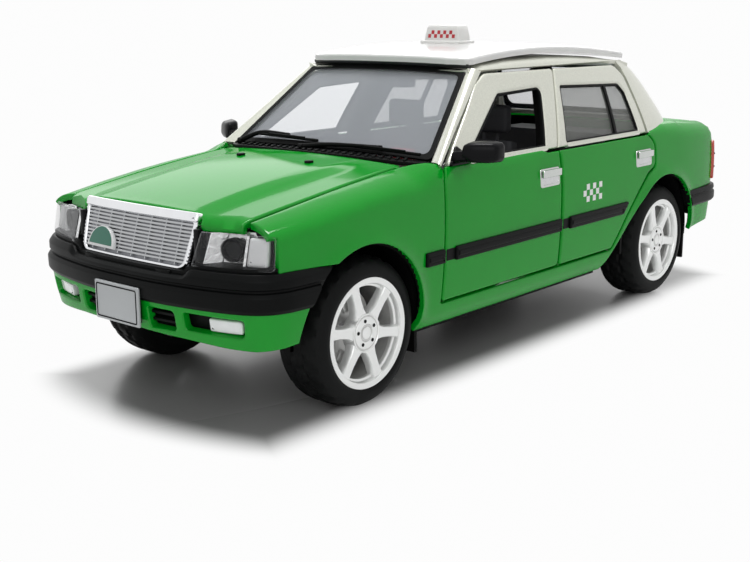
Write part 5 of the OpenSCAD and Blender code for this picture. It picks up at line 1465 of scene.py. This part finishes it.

# under the car the floor's colour is darkened as a painted shadow, and a little way outside its plan it runs
# into the white background
tree = M["floor"].node_tree
bsdf = tree.nodes["Principled BSDF"]
xyz = add(tree, "SeparateXYZ", None, [add(tree, "TexCoord").outputs["Object"]]).outputs
across = maths(tree, "ABSOLUTE", xyz["Y"])
bow = maths(tree, "MULTIPLY", maths(tree, "POWER", across, 2.0), 6.0)
along = maths(tree, "ADD", maths(tree, "ABSOLUTE", xyz["X"]), bow)
smooth = ("interpolation_type", "SMOOTHSTEP")
beyond_end = add(tree, "MapRange", smooth, [along, 92 * MM, 106 * MM]).outputs[0]
beyond_side = add(tree, "MapRange", smooth, [across, 28 * MM, 41 * MM]).outputs[0]
clear = maths(tree, "MAXIMUM", beyond_end, beyond_side)
# painted shadow: the floor's colour under the car is this grey, mixed to the floor's white outside the car's
# plan
painted_shadow_grey = (0.45, 0.45, 0.45, 1)
floor_with_painted_shadow = add(tree, "Mix", ("data_type", "RGBA"), Factor=clear, A=painted_shadow_grey, B=(0.96, 0.96, 0.96, 1))
fill(tree, bsdf, Base_Color=floor_with_painted_shadow.outputs["Result"])
glow = add(tree, "Emission", Color=WHITE).outputs[0]
white_share = maths(tree, "MULTIPLY", clear, seen_directly(tree))
shown = add(tree, "MixShader", None, [white_share, bsdf.outputs[0], glow])
fill(tree, tree.nodes["Material Output"], Surface=shown.outputs[0])

world = bpy.data.worlds.new("studio")
bpy.context.scene.world = world
world.use_nodes = True
tree = world.node_tree
sky = add(tree, "Mix", ("data_type", "RGBA"), Factor=seen_directly(tree), A=AMBIENT, B=WHITE)
fill(tree, tree.nodes["Background"], Color=sky.outputs["Result"])


# Lamps and camera, in metres
def softbox(name, place, target, size, watts):
    lamp = bpy.data.lights.new(name, "AREA")
    lamp.shape = "RECTANGLE"
    lamp.size, lamp.size_y = size
    lamp.energy = watts
    obj = put(name, lamp)
    obj.location = place
    obj.rotation_euler = (Vector(target) - Vector(place)).to_track_quat("-Z", "Y").to_euler()
    obj.visible_camera = False


softbox("overhead", (-0.05, -0.03, 0.62), (0, 0, 0), (0.26, 0.20), 2.8)
softbox("back_card", (-0.58, -0.55, 0.39), (0.05, 0, 0.045), (1.0, 0.30), 1.3)
softbox("front_side", (0.75, 0.62, 0.55), (0, 0, 0.03), (0.80, 0.60), 2.1)

# the photograph's camera: its place, its turns in degrees, and its lens in pixels of a 750 by 562 picture
EYE = (0.230310, 0.178441, 0.078278)
AZIMUTH, TILT, ROLL = 130.77896, 76.81863, -0.29766
WIDTH, HEIGHT, FOCAL, CENTRE_U, CENTRE_V = 750, 562, 1157.27, 370.753, 279.022
lens = bpy.data.cameras.new("camera")
lens.sensor_width = 36.0
lens.lens = FOCAL / WIDTH * lens.sensor_width
lens.shift_x = (WIDTH / 2 - CENTRE_U) / WIDTH
lens.shift_y = -(HEIGHT / 2 - CENTRE_V) / WIDTH
lens.clip_start = 0.01
camera = put("camera", lens)
turns = [Matrix.Rotation(math.radians(a), 4, axis) for a, axis in ((AZIMUTH, "Z"), (TILT, "X"), (ROLL, "Z"))]
camera.matrix_world = Matrix.Translation(EYE) @ turns[0] @ turns[1] @ turns[2]
bpy.context.scene.camera = camera
bpy.context.scene.view_settings.view_transform = "Standard"
